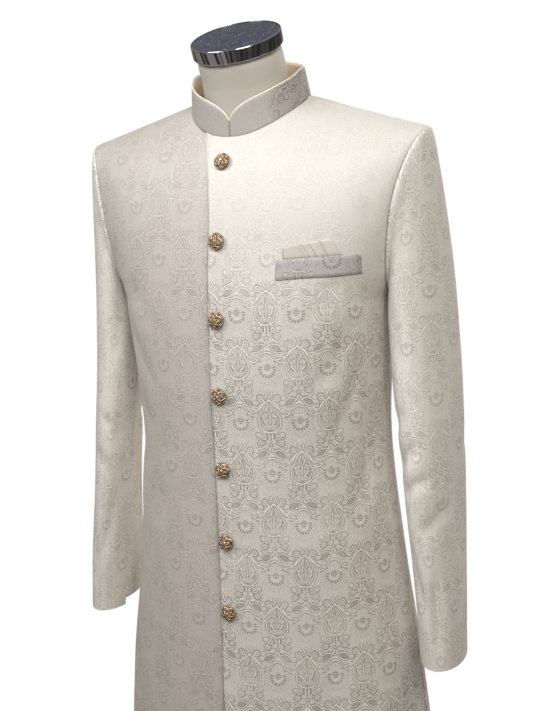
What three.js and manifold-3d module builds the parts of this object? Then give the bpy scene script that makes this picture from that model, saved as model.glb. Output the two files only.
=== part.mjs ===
// A knee-length sherwani coat of ivory brocade, buttoned on a limbless dress form that stands on a
// round steel base. Millimetres, +Z up, the coat's front faces -Y and the wearer's left side is +X.
// The origin is the centre of the base's underside.
//
// Each cloth piece is a wall built on one body surface. The surface is a stack of rows from hem to
// shoulder ridge, and each row is a curve from the centre line of the body to the side seam or armhole.
import * as THREE from "three";
import { mergeVertices } from "three/addons/utils/BufferGeometryUtils.js";
import Module from "manifold-3d";

const wasm = await Module();
wasm.setup();

// ---- driving dimensions ----
const CLOTH = 2; // interlined brocade of the body panels
const SLEEVE_CLOTH = 1.6;
const SEAM_INSET = 0.15; // each side of a seam, so that pieces are 0.3 apart
const OVERLAP_LEFT = { body: 14, neck: 33 }; // how far the upper front passes the centre line
const OVERLAP_RIGHT = { body: 26, neck: 26 }; // how far the under front passes it the other way
const UNDERLAP_DROP = CLOTH + 0.8; // the under front lies this far inside the upper one
const UNDERLAP_FADE = [20, 75]; // distance from the centre over which that drop fades out
const SLIT_TOP = 880; // the side seams are open from here down
const SLITS = { // how far the panels' side edges swing inward and forward at the hem, below the slits
  front_left: { inward: 3, forward: 5 },
  back_left: { inward: -2, forward: -3 },
  front_right: { inward: 42, forward: 50 },
  back_right: { inward: 16, forward: -2 },
};

const NECK = { a: 75, b: 68, y: 1 }; // plan ellipse of the neckline
const COLLAR = {
  back: 40, side: 31, front: 35, wall: 1.3, foot: 2, lean: 5, lie: 0.22, cornerRadius: 34, meet: 14,
};

const BUTTONS = { count: 7, pitch: 90.5, x: -3, topZ: 1411, radius: 10, height: 7.5, shank: 2.2 };
const WELT = { x: 69, z: 1298, width: 90, height: 22.5, rise: 4, wall: 1.8, clear: 0.4 };
const SQUARE_WALL = 1.2;
const CUFF_Z = { left: 794, right: 812 }; // the right sleeve has ridden up a little

const BASE = { radius: 190, thick: 10, domeRise: 8 };
const POLE = { radius: 16 };
const FORM_BOTTOM_Z = 760;
const FORM_EASE = [ // clearance between cloth and form, by height
  { z: 760, ease: 16 }, { z: 900, ease: 10 }, { z: 1060, ease: 12 },
  { z: 1240, ease: 6 }, { z: 1400, ease: 4 }, { z: 1500, ease: 9 },
];
const NECK_TUBE = [ // sections of the form's neck, from inside the chest up to the cap
  { y: -2, z: 1446, r: 53, tilt: 8 }, { y: -3, z: 1480, r: 55, tilt: 13 },
  { y: -16, z: 1512, r: 53.5, tilt: 19 }, { y: -32.1, z: 1542, r: 52.5, tilt: 24.6 },
];
const CAP = { y: -32.3, z: 1542.4, tilt: 24.6, radius: 55, height: 16.5, lidInset: 1.6, lidThick: 3 };

// ---- the body surface ----
// One row per level. cy, cz: the row's point on the centre line. ex, ey, ez: its point on the side seam
// or armhole. turn: the row's heading there, in degrees (90 runs straight back along the side).
// pc, pe: how far the row keeps its heading at the centre and at the edge.
const UNDERARM = 6;
const RIDGE = 13;
const FRONT_ROWS = [
  { name: "hem", cy: -150, cz: 450, ex: 232, ey: 2, ez: 450, turn: 90, pc: 130, pe: 80 },
  { name: "thigh", cy: -142, cz: 600, ex: 220, ey: 3, ez: 600, turn: 90, pc: 124, pe: 76 },
  { name: "hip", cy: -132, cz: 790, ex: 200, ey: 4, ez: 790, turn: 90, pc: 112, pe: 71 },
  { name: "seat", cy: -127, cz: 900, ex: 184, ey: 4, ez: 900, turn: 90, pc: 105, pe: 70 },
  { name: "waist", cy: -124, cz: 1060, ex: 167, ey: 4, ez: 1060, turn: 90, pc: 98, pe: 70 },
  { name: "rib", cy: -125, cz: 1150, ex: 168, ey: 4, ez: 1150, turn: 90, pc: 106, pe: 80 },
  { name: "underarm", cy: -122, cz: 1230, ex: 173, ey: 5, ez: 1240, turn: 90, pc: 117, pe: 90 },
  { name: "scye", cy: -119, cz: 1270, ex: 176, ey: -31, ez: 1262, turn: 75, pc: 99, pe: 64 },
  { name: "notch", cy: -112, cz: 1314, ex: 182, ey: -51, ez: 1308, turn: 58, pc: 88, pe: 53 },
  { name: "chest", cy: -101, cz: 1362, ex: 190, ey: -54, ez: 1360, turn: 46, pc: 87, pe: 56 },
  { name: "yoke", cy: -85, cz: 1410, ex: 203, ey: -41, ez: 1406, turn: 34, pc: 86, pe: 65 },
  { name: "collarbone", cy: -60, cz: 1450, ex: 214, ey: -24, ez: 1431, turn: 20, pc: 81, pe: 73 },
  { name: "slope", cy: -30, cz: 1484, ex: 219, ey: -11, ez: 1438.5, turn: 9, pc: 76, pe: 76 },
  { name: "ridge", cy: 4, cz: 1508, ex: 222, ey: 2, ez: 1442, turn: 0, pc: 75, pe: 75 },
];
const BACK_ROWS = [
  { name: "hem", cy: 152, cz: 450, ex: 232, ey: 2, ez: 450, turn: 90, pc: 132, pe: 82 },
  { name: "thigh", cy: 142, cz: 600, ex: 220, ey: 3, ez: 600, turn: 90, pc: 125, pe: 77 },
  { name: "hip", cy: 127, cz: 790, ex: 200, ey: 4, ez: 790, turn: 90, pc: 113, pe: 69 },
  { name: "seat", cy: 119, cz: 900, ex: 184, ey: 4, ez: 900, turn: 90, pc: 105, pe: 64 },
  { name: "waist", cy: 102, cz: 1060, ex: 167, ey: 4, ez: 1060, turn: 90, pc: 98, pe: 56 },
  { name: "rib", cy: 105, cz: 1150, ex: 168, ey: 4, ez: 1150, turn: 90, pc: 102, pe: 63 },
  { name: "underarm", cy: 112, cz: 1244, ex: 173, ey: 5, ez: 1240, turn: 90, pc: 112, pe: 74 },
  { name: "scye", cy: 114, cz: 1276, ex: 177, ey: 40, ez: 1262, turn: 72, pc: 95, pe: 54 },
  { name: "notch", cy: 115, cz: 1318, ex: 184, ey: 62, ez: 1308, turn: 55, pc: 87, pe: 50 },
  { name: "blade", cy: 113, cz: 1368, ex: 191, ey: 66, ez: 1360, turn: 44, pc: 87, pe: 55 },
  { name: "yoke", cy: 105, cz: 1422, ex: 204, ey: 49, ez: 1406, turn: 33, pc: 86, pe: 63 },
  { name: "collarbone", cy: 88, cz: 1476, ex: 215, ey: 27, ez: 1432, turn: 20, pc: 80, pe: 74 },
  { name: "slope", cy: 60, cz: 1505, ex: 219.5, ey: 14, ez: 1438.5, turn: 9, pc: 76, pe: 76 },
  { name: "ridge", cy: 4, cz: 1508, ex: 222, ey: 2, ez: 1442, turn: 0, pc: 75, pe: 75 },
];

function spline(rows, pick, from, to) {
  const points = rows.slice(from, to + 1).map((row) => new THREE.Vector3(...pick(row)));
  const curve = new THREE.CatmullRomCurve3(points);
  return (k) => curve.getPoint((k - from) / (to - from));
}

// The side seam and the armhole are two curves that meet in a corner at the underarm.
function cornered(rows, pick) {
  const seam = spline(rows, pick, 0, UNDERARM);
  const hole = spline(rows, pick, UNDERARM, RIDGE);
  return (k) => (k <= UNDERARM ? seam(k) : hole(k));
}

// The surface of half a front or half a back. point(s, k): s runs from 0 on the centre line to 1 on the
// side seam or armhole, and below 0 it passes the centre line. k is the row number, from 0 at the hem.
function halfSurface(rows, facing, slit) {
  const centre = spline(rows, (row) => [0, row.cy, row.cz], 0, RIDGE);
  const shape = cornered(rows, (row) => [row.turn, row.pc, row.pe]);
  const edge = cornered(rows, (row) => [row.ex, row.ey, row.ez]);
  function point(s, k) {
    const c = centre(k);
    const e = edge(k);
    const form = shape(k);
    const heading = THREE.MathUtils.degToRad(form.x);
    const rise = (e.z - c.z) / 3;
    const a = new THREE.Vector3(c.x + form.y, c.y, c.z + rise);
    const b = new THREE.Vector3(
      e.x - form.z * Math.cos(heading), e.y - facing * form.z * Math.sin(heading), e.z - rise);
    const p = new THREE.CubicBezierCurve3(c, a, b, e).getPoint(Math.abs(s));
    const open = Math.max(0, (SLIT_TOP - p.z) / (SLIT_TOP - rows[0].cz)) ** 1.4 * Math.abs(s) ** 4;
    p.x -= open * slit.inward;
    p.y -= open * slit.forward;
    if (s < 0) p.x = -p.x;
    return p;
  }
  function normal(s, k) {
    const ds = 0.002;
    const dk = 0.01;
    const k0 = Math.max(0, k - dk);
    const k1 = Math.min(RIDGE, k + dk);
    const across = point(Math.min(1, s + ds), k).sub(point(s - ds, k));
    const up = point(s, k1).sub(point(s, k0));
    const n = across.cross(up).multiplyScalar(facing).normalize();
    const onSideSeam = s > 0.99 && k <= UNDERARM && point(s, k).z > SLIT_TOP;
    if (onSideSeam || k > RIDGE - 0.05) n.setY(0).normalize();
    return n;
  }
  // The direction square to the side seam or armhole that leads off the panel, along its surface.
  function offEdge(k) {
    if (k === UNDERARM) return new THREE.Vector3(0, facing, 1);
    const along = point(1, k).sub(point(0.98, k));
    const rail = point(1, Math.min(RIDGE, k + 0.02)).sub(point(1, Math.max(0, k - 0.02)));
    const off = rail.cross(normal(1, k)).normalize();
    return off.dot(along) < 0 ? off.negate() : off;
  }
  // The s at which a row is at distance x from the centre line.
  function atX(x, k) {
    let low = 0;
    let high = 1;
    for (let i = 0; i < 30; i++) {
      const mid = (low + high) / 2;
      if (point(mid, k).x < x) low = mid;
      else high = mid;
    }
    return (low + high) / 2;
  }
  // The row at which a column meets the neckline, or the ridge where it passes beside the neck.
  function top(s) {
    const outside = (k) => {
      const p = point(s, k);
      return (p.x / NECK.a) ** 2 + ((p.y - NECK.y) / NECK.b) ** 2 > 1;
    };
    if (outside(RIDGE)) return RIDGE;
    let low = UNDERARM + 1;
    let high = RIDGE;
    for (let i = 0; i < 30; i++) {
      const mid = (low + high) / 2;
      if (outside(mid)) low = mid;
      else high = mid;
    }
    return low;
  }
  return { point, normal, offEdge, atX, top };
}

const frontLeft = halfSurface(FRONT_ROWS, 1, SLITS.front_left);
const frontRight = halfSurface(FRONT_ROWS, 1, SLITS.front_right);
const backLeft = halfSurface(BACK_ROWS, -1, SLITS.back_left);
const backRight = halfSurface(BACK_ROWS, -1, SLITS.back_right);

// ---- walls ----
function mirrored(grid) {
  return grid.map((line) => line.map((c) => ({
    p: c.p.clone().setX(-c.p.x), n: c.n.clone().setX(-c.n.x),
  })));
}

// A closed wall on a grid of cells {p, n}: the outer face is at p, the inner face is wall inside it.
// With closed, the last line of the grid joins the first.
function wallGeometry(grid, wall, closed = false) {
  const rows = grid.length;
  const cols = grid[0].length;
  const outer = (i, j) => (i % rows) * cols + j;
  const inner = (i, j) => rows * cols + outer(i, j);
  const position = [];
  for (const line of grid) for (const c of line) position.push(...c.p.toArray());
  for (const line of grid) {
    for (const c of line) position.push(...c.p.clone().addScaledVector(c.n, -wall).toArray());
  }
  const index = [];
  const quad = (a, b, c, d) => index.push(a, b, c, a, c, d);
  const last = closed ? rows : rows - 1;
  for (let i = 0; i < last; i++) {
    for (let j = 0; j < cols - 1; j++) {
      quad(outer(i, j), outer(i + 1, j), outer(i + 1, j + 1), outer(i, j + 1));
      quad(inner(i, j), inner(i, j + 1), inner(i + 1, j + 1), inner(i + 1, j));
    }
    quad(outer(i, 0), inner(i, 0), inner(i + 1, 0), outer(i + 1, 0));
    quad(outer(i, cols - 1), outer(i + 1, cols - 1), inner(i + 1, cols - 1), inner(i, cols - 1));
  }
  if (!closed) {
    for (let j = 0; j < cols - 1; j++) {
      quad(outer(0, j), outer(0, j + 1), inner(0, j + 1), inner(0, j));
      quad(outer(rows - 1, j), inner(rows - 1, j), inner(rows - 1, j + 1), outer(rows - 1, j + 1));
    }
  }
  return facingOut(position, index);
}

function signedVolume(position, index) {
  const at = (i) => new THREE.Vector3(...position.slice(3 * i, 3 * i + 3));
  let six = 0;
  for (let i = 0; i < index.length; i += 3) {
    six += at(index[i]).dot(at(index[i + 1]).cross(at(index[i + 2])));
  }
  return six / 6;
}

function facingOut(position, index) {
  if (signedVolume(position, index) < 0) {
    for (let i = 0; i < index.length; i += 3) [index[i + 1], index[i + 2]] = [index[i + 2], index[i + 1]];
  }
  return new THREE.BufferGeometry()
    .setAttribute("position", new THREE.Float32BufferAttribute(position, 3))
    .setIndex(index);
}

// A closed skin through rings of equal length, with a flat fan on the first and the last.
function loftGeometry(rings) {
  const count = rings[0].length;
  const position = rings.flat().flatMap((p) => p.toArray());
  const index = [];
  for (let i = 0; i < rings.length - 1; i++) {
    for (let j = 0; j < count; j++) {
      const a = i * count + j;
      const b = i * count + ((j + 1) % count);
      index.push(a, b, b + count, a, b + count, a + count);
    }
  }
  [0, rings.length - 1].forEach((i, end) => {
    const middle = rings[i].reduce((sum, p) => sum.add(p), new THREE.Vector3()).divideScalar(count);
    const tip = position.length / 3;
    position.push(...middle.toArray());
    for (let j = 0; j < count; j++) {
      const pair = [i * count + j, i * count + ((j + 1) % count)];
      index.push(...(end ? pair : pair.reverse()), tip);
    }
  });
  return facingOut(position, index);
}

function manifoldOf(geometry) {
  const bare = new THREE.BufferGeometry()
    .setAttribute("position", geometry.getAttribute("position"))
    .setIndex(geometry.index);
  const merged = mergeVertices(bare, 1e-4);
  return new wasm.Manifold(new wasm.Mesh({
    numProp: 3,
    vertProperties: new Float32Array(merged.getAttribute("position").array),
    triVerts: new Uint32Array(merged.index.array),
  }));
}

function geometryOf(solid) {
  const mesh = solid.getMesh();
  return new THREE.BufferGeometry()
    .setAttribute("position", new THREE.BufferAttribute(new Float32Array(mesh.vertProperties), 3))
    .setIndex(new THREE.BufferAttribute(new Uint32Array(mesh.triVerts), 1));
}

// ---- body panels ----
const PANEL_ROWS = [0, 1, 1.5, 2, 2.5, 3, 3.5, 4, 4.5, 5, 5.5, ...armholeLevels()];
const NECK_CORNER = frontLeft.atX(NECK.a, RIDGE) + 0.001; // where the neckline meets the shoulder seam
const PANEL_COLUMNS = [0, 0.1, 0.2, 0.27, NECK_CORNER, 0.42, 0.54, 0.66, 0.78, 0.89];

// Levels shared by the panels and the sleeves along the armhole, so that their facets meet.
function armholeLevels() {
  return Array.from({ length: 2 * (RIDGE - UNDERARM) + 1 }, (_, i) => UNDERARM + i / 2);
}

// Rows above the underarm are squeezed so that each column ends on the neckline or the shoulder seam.
function panelRow(surface, s, k) {
  const fixed = UNDERARM + 1;
  if (k <= fixed) return k;
  return fixed + ((k - fixed) / (RIDGE - fixed)) * (surface.top(Math.abs(s)) - fixed);
}

// The edge of the upper front stays plumb while the chest falls back to the neck, so it runs wider there.
function overlapAt(overlap, level) {
  const share = Math.max(0, (level - 8) / (RIDGE - 8)) ** 2.3;
  return THREE.MathUtils.lerp(overlap.body, overlap.neck, share);
}

// The cells of a panel whose centre edge passes the centre line by overlap, or stays short of it.
function panelGrid(surface, facing, overlap, drop) {
  return PANEL_ROWS.map((level) => {
    const past = overlapAt(overlap, level);
    const start = -Math.sign(past) * surface.atX(Math.abs(past), level);
    const inner = PANEL_COLUMNS.filter((s) => s > Math.max(start, 0) + 0.02 || (s === 0 && start < 0));
    return [start, ...inner, 1].map((s) => {
      const k = panelRow(surface, s, level);
      const p = surface.point(s, k);
      const n = surface.normal(s, k);
      if (s === 1) p.addScaledVector(surface.offEdge(k), -SEAM_INSET);
      if (level === RIDGE && k === RIDGE) p.y -= facing * SEAM_INSET;
      return { p: p.addScaledVector(n, -drop(p.x)), n };
    });
  });
}

const noDrop = () => 0;
function underlapDrop(x) {
  return UNDERLAP_DROP * (1 - THREE.MathUtils.smoothstep(x, ...UNDERLAP_FADE));
}

function panels() {
  const left = wallGeometry(panelGrid(frontLeft, 1, OVERLAP_LEFT, noDrop), CLOTH);
  const right = wallGeometry(mirrored(panelGrid(frontRight, 1, OVERLAP_RIGHT, underlapDrop)), CLOTH);
  const backSeam = { body: -SEAM_INSET, neck: -SEAM_INSET };
  const backs = [backLeft, backRight].map((surface) => panelGrid(surface, -1, backSeam, noDrop));
  return {
    front_left: left,
    front_right: right,
    back_left: wallGeometry(backs[0], CLOTH),
    back_right: wallGeometry(mirrored(backs[1]), CLOTH),
  };
}

// ---- sleeves ----
// Rings below the armhole, for the left sleeve: centre, half width, half depth, and the turn of the ring
// that brings its front edge inward, in degrees.
const SLEEVE_ROWS = [
  { name: "armpit", cx: 211, cy: 10, cz: 1220, rx: 31, ry: 63, turn: 17 },
  { name: "biceps", cx: 215, cy: 9, cz: 1150, rx: 31, ry: 64, turn: 17 },
  { name: "elbow", cx: 221, cy: 4, cz: 1070, rx: 29, ry: 63, turn: 15 },
  { name: "forearm", cx: 227, cy: -1, cz: 980, rx: 27, ry: 61, turn: 12 },
  { name: "wrist", cx: 233, cy: -6, cz: 880, rx: 28, ry: 56, turn: 5 },
  { name: "cuff", cx: 236, cy: -9, cz: 800, rx: 28, ry: 52, turn: 0 },
];
const SLEEVE_HEAD = { reach: 11, share: 0.2, rise: 0.35 }; // how the cloth runs out of the armhole
const SLEEVE_HEAD_STEPS = 5;
const FRONT_SEAM_LEVEL = 7; // levels at which the two sleeve seams meet the armhole
const BACK_SEAM_LEVEL = 8.5;

// A place round the armhole is a turn: 0 on the shoulder tip, 0.25 in front, 0.5 underarm, 0.75 behind.
function turnAt(level, behind) {
  const half = (RIDGE - level) / (2 * (RIDGE - UNDERARM));
  return behind ? 1 - half : half;
}

function armhole(front, back, turn) {
  const surface = turn <= 0.5 ? front : back;
  const k = RIDGE - Math.min(turn, 1 - turn) * 2 * (RIDGE - UNDERARM);
  const underarm = Math.abs(turn - 0.5) < 0.01;
  const off = underarm ? new THREE.Vector3(0, 0, 1) : surface.offEdge(k);
  return { p: surface.point(1, k).addScaledVector(off, SEAM_INSET), n: surface.normal(1, k) };
}

function sleeveRing(row, turn) {
  const angle = turn * 2 * Math.PI;
  const across = row.rx * Math.cos(angle);
  const along = -row.ry * Math.sin(angle);
  const swing = THREE.MathUtils.degToRad(row.turn);
  return new THREE.Vector3(
    row.cx + across * Math.cos(swing) + along * Math.sin(swing),
    row.cy - across * Math.sin(swing) + along * Math.cos(swing),
    row.cz);
}

// One column of the sleeve, from the armhole over the head and down to the cuff.
function sleeveColumn(sleeve, turn) {
  const start = armhole(sleeve.front, sleeve.back, turn);
  const rings = SLEEVE_ROWS.map((row) => sleeveRing(row, turn));
  rings[rings.length - 1].z = sleeve.cuffZ;
  const first = rings[0];
  const fall = rings[1].clone().sub(first).normalize();
  const span = start.p.distanceTo(first);
  const outward = new THREE.Vector3(1, 0, SLEEVE_HEAD.rise * Math.cos(2 * Math.PI * turn)).normalize();
  const head = new THREE.CubicBezierCurve3(
    start.p,
    start.p.clone().addScaledVector(outward, Math.min(SLEEVE_HEAD.reach, span * SLEEVE_HEAD.share)),
    first.clone().addScaledVector(fall, -span * 0.4),
    first);
  const column = [];
  for (let i = 0; i < SLEEVE_HEAD_STEPS; i++) column.push(head.getPoint((i / SLEEVE_HEAD_STEPS) ** 1.5));
  const tube = new THREE.CatmullRomCurve3(rings);
  const steps = 2 * (rings.length - 1);
  for (let i = 0; i <= steps; i++) column.push(tube.getPoint(i / steps));
  return { column, n: start.n };
}

// The sleeve's cells over a run of turns. The first and last columns stand back from their seams, but
// keep the seam's own normals.
function sleeveGrid(sleeve, turns) {
  const inset = 0.0012; // of a turn
  const nudge = 0.004;
  const at = (turn) => sleeveColumn(sleeve, ((turn % 1) + 1) % 1);
  return turns.map((turn, i) => {
    const shift = i === 0 ? inset : i === turns.length - 1 ? -inset : 0;
    const { column } = at(turn + shift);
    const { column: middle, n } = at(turn);
    const before = at(turn - nudge).column;
    const after = at(turn + nudge).column;
    return column.map((p, j) => {
      if (j === 0) return { p, n };
      const along = middle[Math.min(j + 1, middle.length - 1)].clone().sub(middle[j - 1]);
      return { p, n: after[j].clone().sub(before[j]).cross(along).normalize() };
    });
  });
}

function sleeves() {
  const made = {};
  const levels = armholeLevels();
  const inFront = levels.slice().reverse().map((level) => turnAt(level, false));
  const behind = levels.slice(1).map((level) => turnAt(level, true));
  const round = [...inFront, ...behind];
  const frontSeam = round.indexOf(turnAt(FRONT_SEAM_LEVEL, false));
  const backSeam = round.indexOf(turnAt(BACK_SEAM_LEVEL, true));
  const pieces = {
    upper: [...round.slice(backSeam, -1).map((turn) => turn - 1), ...round.slice(0, frontSeam + 1)],
    under: round.slice(frontSeam, backSeam + 1),
  };
  const left = { front: frontLeft, back: backLeft, cuffZ: CUFF_Z.left };
  const right = { front: frontRight, back: backRight, cuffZ: CUFF_Z.right };
  for (const [piece, turns] of Object.entries(pieces)) {
    made["sleeve_left_" + piece] = wallGeometry(sleeveGrid(left, turns), SLEEVE_CLOTH);
    made["sleeve_right_" + piece] = wallGeometry(mirrored(sleeveGrid(right, turns)), SLEEVE_CLOTH);
  }
  return made;
}

// ---- collar ----
// The neckline as a closed curve, from the centre front (share 0) round the left side.
function necklineCurve() {
  const shares = [0, 0.1, 0.2, 0.26, 0.29, 0.31];
  const half = (surface) => shares.map((s) => surface.point(s, surface.top(s)));
  const front = half(frontLeft);
  const back = half(backLeft).reverse();
  const side = new THREE.Vector3(NECK.a, NECK.y, 0);
  side.z = frontLeft.point(frontLeft.atX(NECK.a, RIDGE), RIDGE).z;
  const left = [...front, side, ...back];
  const right = left.slice(1, -1).reverse().map((p) => p.clone().setX(-p.x));
  return new THREE.CatmullRomCurve3([...left, ...right], true);
}
const neckline = necklineCurve();

// Height of the collar above its seam at a distance along the band from its nearer front end.
function collarHeight(distance, length) {
  const share = THREE.MathUtils.clamp(distance / (length / 2), 0, 1);
  const full = share < 0.5
    ? THREE.MathUtils.lerp(COLLAR.front, COLLAR.side, THREE.MathUtils.smoothstep(share, 0.15, 0.5))
    : THREE.MathUtils.lerp(COLLAR.side, COLLAR.back, THREE.MathUtils.smoothstep(share, 0.5, 1));
  const corner = THREE.MathUtils.clamp(1 - distance / COLLAR.cornerRadius, 0, 1);
  return full - (full - COLLAR.meet) * (1 - Math.sqrt(1 - corner ** 2));
}

function collarLayer(inset) {
  const steps = 34;
  const length = neckline.getLength();
  const ends = 0.6; // half the gap between the two front ends
  const grid = [];
  for (let i = 0; i <= steps; i++) {
    const crowding = 0.11 * Math.sin((2 * Math.PI * i) / steps); // stations are closer at the front ends
    const warped = i / steps - crowding;
    const distance = ends + (length - 2 * ends) * warped;
    const p = neckline.getPointAt(distance / length);
    const ahead = neckline.getPointAt(Math.min(1, (distance + 0.5) / length));
    const behind = neckline.getPointAt(Math.max(0, (distance - 0.5) / length));
    const out = ahead.sub(behind).cross(new THREE.Vector3(0, 0, 1)).setZ(0).normalize();
    if (out.x * p.x + out.y * (p.y - NECK.y) < 0) out.negate();
    const height = collarHeight(Math.min(distance, length - distance), length);
    const foot = p.clone().addScaledVector(out, -inset).add(new THREE.Vector3(0, 0, COLLAR.foot));
    const up = new THREE.Vector3(0, -COLLAR.lie, 1).addScaledVector(out, -COLLAR.lean / COLLAR.back);
    up.normalize();
    grid.push([0, 0.5, 1].map((t) => ({ p: foot.clone().addScaledVector(up, height * t), n: out })));
  }
  return wallGeometry(grid, COLLAR.wall);
}

// ---- breast pocket ----
// The cell of the left front's surface at distance x from the centre and height z, moved out.
function onLeftFront(x, z, out) {
  const sAt = (k) => Math.sign(x) * frontLeft.atX(Math.abs(x), k);
  let low = 0;
  let high = RIDGE;
  for (let i = 0; i < 30; i++) {
    const mid = (low + high) / 2;
    if (frontLeft.point(sAt(mid), mid).z < z) low = mid;
    else high = mid;
  }
  const s = sAt(low);
  const n = frontLeft.normal(s, low);
  return { p: frontLeft.point(s, low).addScaledVector(n, out), n };
}

function weltGeometry() {
  const columns = 8;
  const out = WELT.clear + WELT.wall;
  const grid = [];
  for (let i = 0; i <= columns; i++) {
    const share = i / columns;
    const x = WELT.x + WELT.width * share;
    const foot = WELT.z - WELT.height + WELT.rise * share;
    grid.push([0, 0.5, 1].map((t) => onLeftFront(x, foot + WELT.height * t, out)));
  }
  return wallGeometry(grid, WELT.wall);
}

// The pocket square's fan of folds: where each rises out of the pocket, from its inner end, and how high.
const SQUARE_FOLDS = [
  { x: 8.5, rise: 12 }, { x: 10.5, rise: 14.5 }, { x: 20.5, rise: 16 }, { x: 31, rise: 17 },
  { x: 34, rise: 14.5 }, { x: 39.5, rise: 18 }, { x: 42.5, rise: 15.5 }, { x: 48, rise: 19 },
  { x: 51, rise: 16.5 }, { x: 56.5, rise: 19.5 }, { x: 62, rise: 13 }, { x: 70.5, rise: 1.5 },
];

function pocketSquareGeometry() {
  const out = WELT.clear + SQUARE_WALL;
  const grid = SQUARE_FOLDS.map(({ x, rise }) => {
    const foot = WELT.z + 1 + WELT.rise * (x / WELT.width);
    return [0, 0.5, 1].map((t) => onLeftFront(WELT.x + x, foot + rise * t, out));
  });
  return wallGeometry(grid, SQUARE_WALL);
}

// ---- buttons ----
// A domed metal button on a short shank, turned about its own axis. It stands off the left front.
function buttonGeometry() {
  const { radius, height, shank } = BUTTONS;
  const profile = [
    [0, 0], [2.6, 0], [2.6, shank], [radius * 0.72, shank + 0.3], [radius, height * 0.5],
    [radius * 0.96, height * 0.68], [radius * 0.74, height * 0.9], [radius * 0.38, height],
    [0, height + 0.4],
  ];
  const points = profile.map(([x, y]) => new THREE.Vector2(x, y));
  return new THREE.LatheGeometry(points, 12).rotateX(Math.PI / 2);
}

// ---- dress form ----
function easeAt(z) {
  const i = Math.max(0, FORM_EASE.findIndex((row) => row.z > z) - 1);
  const from = z >= FORM_EASE[FORM_EASE.length - 1].z ? FORM_EASE.length - 2 : i;
  const a = FORM_EASE[from];
  const b = FORM_EASE[from + 1];
  return THREE.MathUtils.lerp(a.ease, b.ease, THREE.MathUtils.clamp((z - a.z) / (b.z - a.z), 0, 1));
}

function formPoint(surface, s, k, side) {
  const p = surface.point(s, k);
  const n = surface.normal(s, k);
  p.addScaledVector(n, -(CLOTH + easeAt(p.z)));
  if (side < 0) p.x = -p.x;
  return p;
}

// Rings of the form's trunk: each runs along the left front row, back along the left back row, and then
// the same on the right. Above the underarm the flat between front and back is the arm plate.
function trunkGeometry() {
  const steps = [0, 0.14, 0.28, 0.42, 0.56, 0.7, 0.84, 0.96];
  const levels = [2, 2.5, 3, 3.5, 4, 4.5, 5, 5.5, 6, 6.5, 7, 8, 9, 10, 11, 12, 12.7];
  const rings = levels.map((k) => {
    const left = [
      ...steps.map((s) => formPoint(frontLeft, s, k, 1)),
      ...steps.slice().reverse().map((s) => formPoint(backLeft, s, k, 1)),
    ];
    const right = left.slice(1, -1).reverse().map((p) => p.clone().setX(-p.x));
    return [...left, ...right];
  });
  rings[0].forEach((p) => p.setZ(FORM_BOTTOM_Z));
  rings[1].forEach((p) => p.setZ(Math.max(p.z, FORM_BOTTOM_Z + 40)));
  return loftGeometry(rings);
}

function neckGeometry() {
  const count = 32;
  const rings = NECK_TUBE.map(({ y, z, r, tilt }) => {
    const slope = THREE.MathUtils.degToRad(tilt);
    return Array.from({ length: count }, (_, i) => {
      const angle = (i / count) * 2 * Math.PI;
      const v = -r * Math.cos(angle);
      const x = r * 0.98 * Math.sin(angle);
      return new THREE.Vector3(x, y + v * Math.cos(slope), z + v * Math.sin(slope));
    });
  });
  return loftGeometry(rings);
}

// A turned solid whose axis leans forward with the neck.
function capPart(profile) {
  const points = profile.map(([x, y]) => new THREE.Vector2(x, y));
  const geometry = new THREE.LatheGeometry(points, 40).rotateX(Math.PI / 2);
  geometry.rotateX(THREE.MathUtils.degToRad(CAP.tilt));
  return geometry.translate(0, CAP.y, CAP.z);
}

function capGeometries() {
  const { radius, height, lidInset, lidThick } = CAP;
  const gap = 0.3;
  const seat = height - lidThick;
  return {
    cap_ring: capPart([
      [0, gap], [radius - 1, gap], [radius, gap + 1], [radius, height - 0.8], [radius - 0.8, height],
      [radius - lidInset, height], [radius - lidInset, seat], [0, seat],
    ]),
    cap_lid: capPart([
      [0, seat + gap], [radius - lidInset - gap, seat + gap], [radius - lidInset - gap, height - 0.6],
      [0, height - 0.6],
    ]),
  };
}

// ---- stand ----
function standGeometries() {
  const gap = 0.3;
  const top = BASE.thick + BASE.domeRise;
  const plate = [
    [0, 0], [BASE.radius, 0], [BASE.radius, BASE.thick - 3], [BASE.radius - 3, BASE.thick],
    [BASE.radius * 0.6, BASE.thick + BASE.domeRise * 0.55], [POLE.radius + 14, top], [0, top],
  ];
  const socket = [
    [POLE.radius + gap, top + gap], [POLE.radius + 12, top + gap], [POLE.radius + 12, top + 22],
    [POLE.radius + 8, top + 26], [POLE.radius + gap, top + 26], [POLE.radius + gap, top + gap],
  ];
  const turned = (profile, segments) => new THREE.LatheGeometry(
    profile.map(([x, y]) => new THREE.Vector2(x, y)), segments).rotateX(Math.PI / 2);
  const pole = new THREE.CylinderGeometry(POLE.radius, POLE.radius, FORM_BOTTOM_Z - 2 * gap - top, 24)
    .rotateX(Math.PI / 2)
    .translate(0, 0, (FORM_BOTTOM_Z + top) / 2);
  return { base_plate: turned(plate, 48), pole_socket: turned(socket, 24), stand_pole: pole };
}

// ---- materials and assembly ----
const FINISH = {
  brocade: { color: 0xded8cb, roughness: 0.5, metalness: 0 },
  collar_inside: { color: 0xe8dcc4, roughness: 0.7, metalness: 0 },
  gilt: { color: 0xa8875c, roughness: 0.35, metalness: 0.9 },
  form: { color: 0xcfc8ba, roughness: 0.6, metalness: 0 },
  chrome: { color: 0xc8c8cc, roughness: 0.1, metalness: 1 },
  lid: { color: 0x3a3d4c, roughness: 0.35, metalness: 0 },
};

const coat = new THREE.Group();

function add(name, geometry, finish) {
  const mesh = new THREE.Mesh(geometry, new THREE.MeshStandardMaterial(FINISH[finish]));
  mesh.name = name;
  coat.add(mesh);
  return mesh;
}

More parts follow.
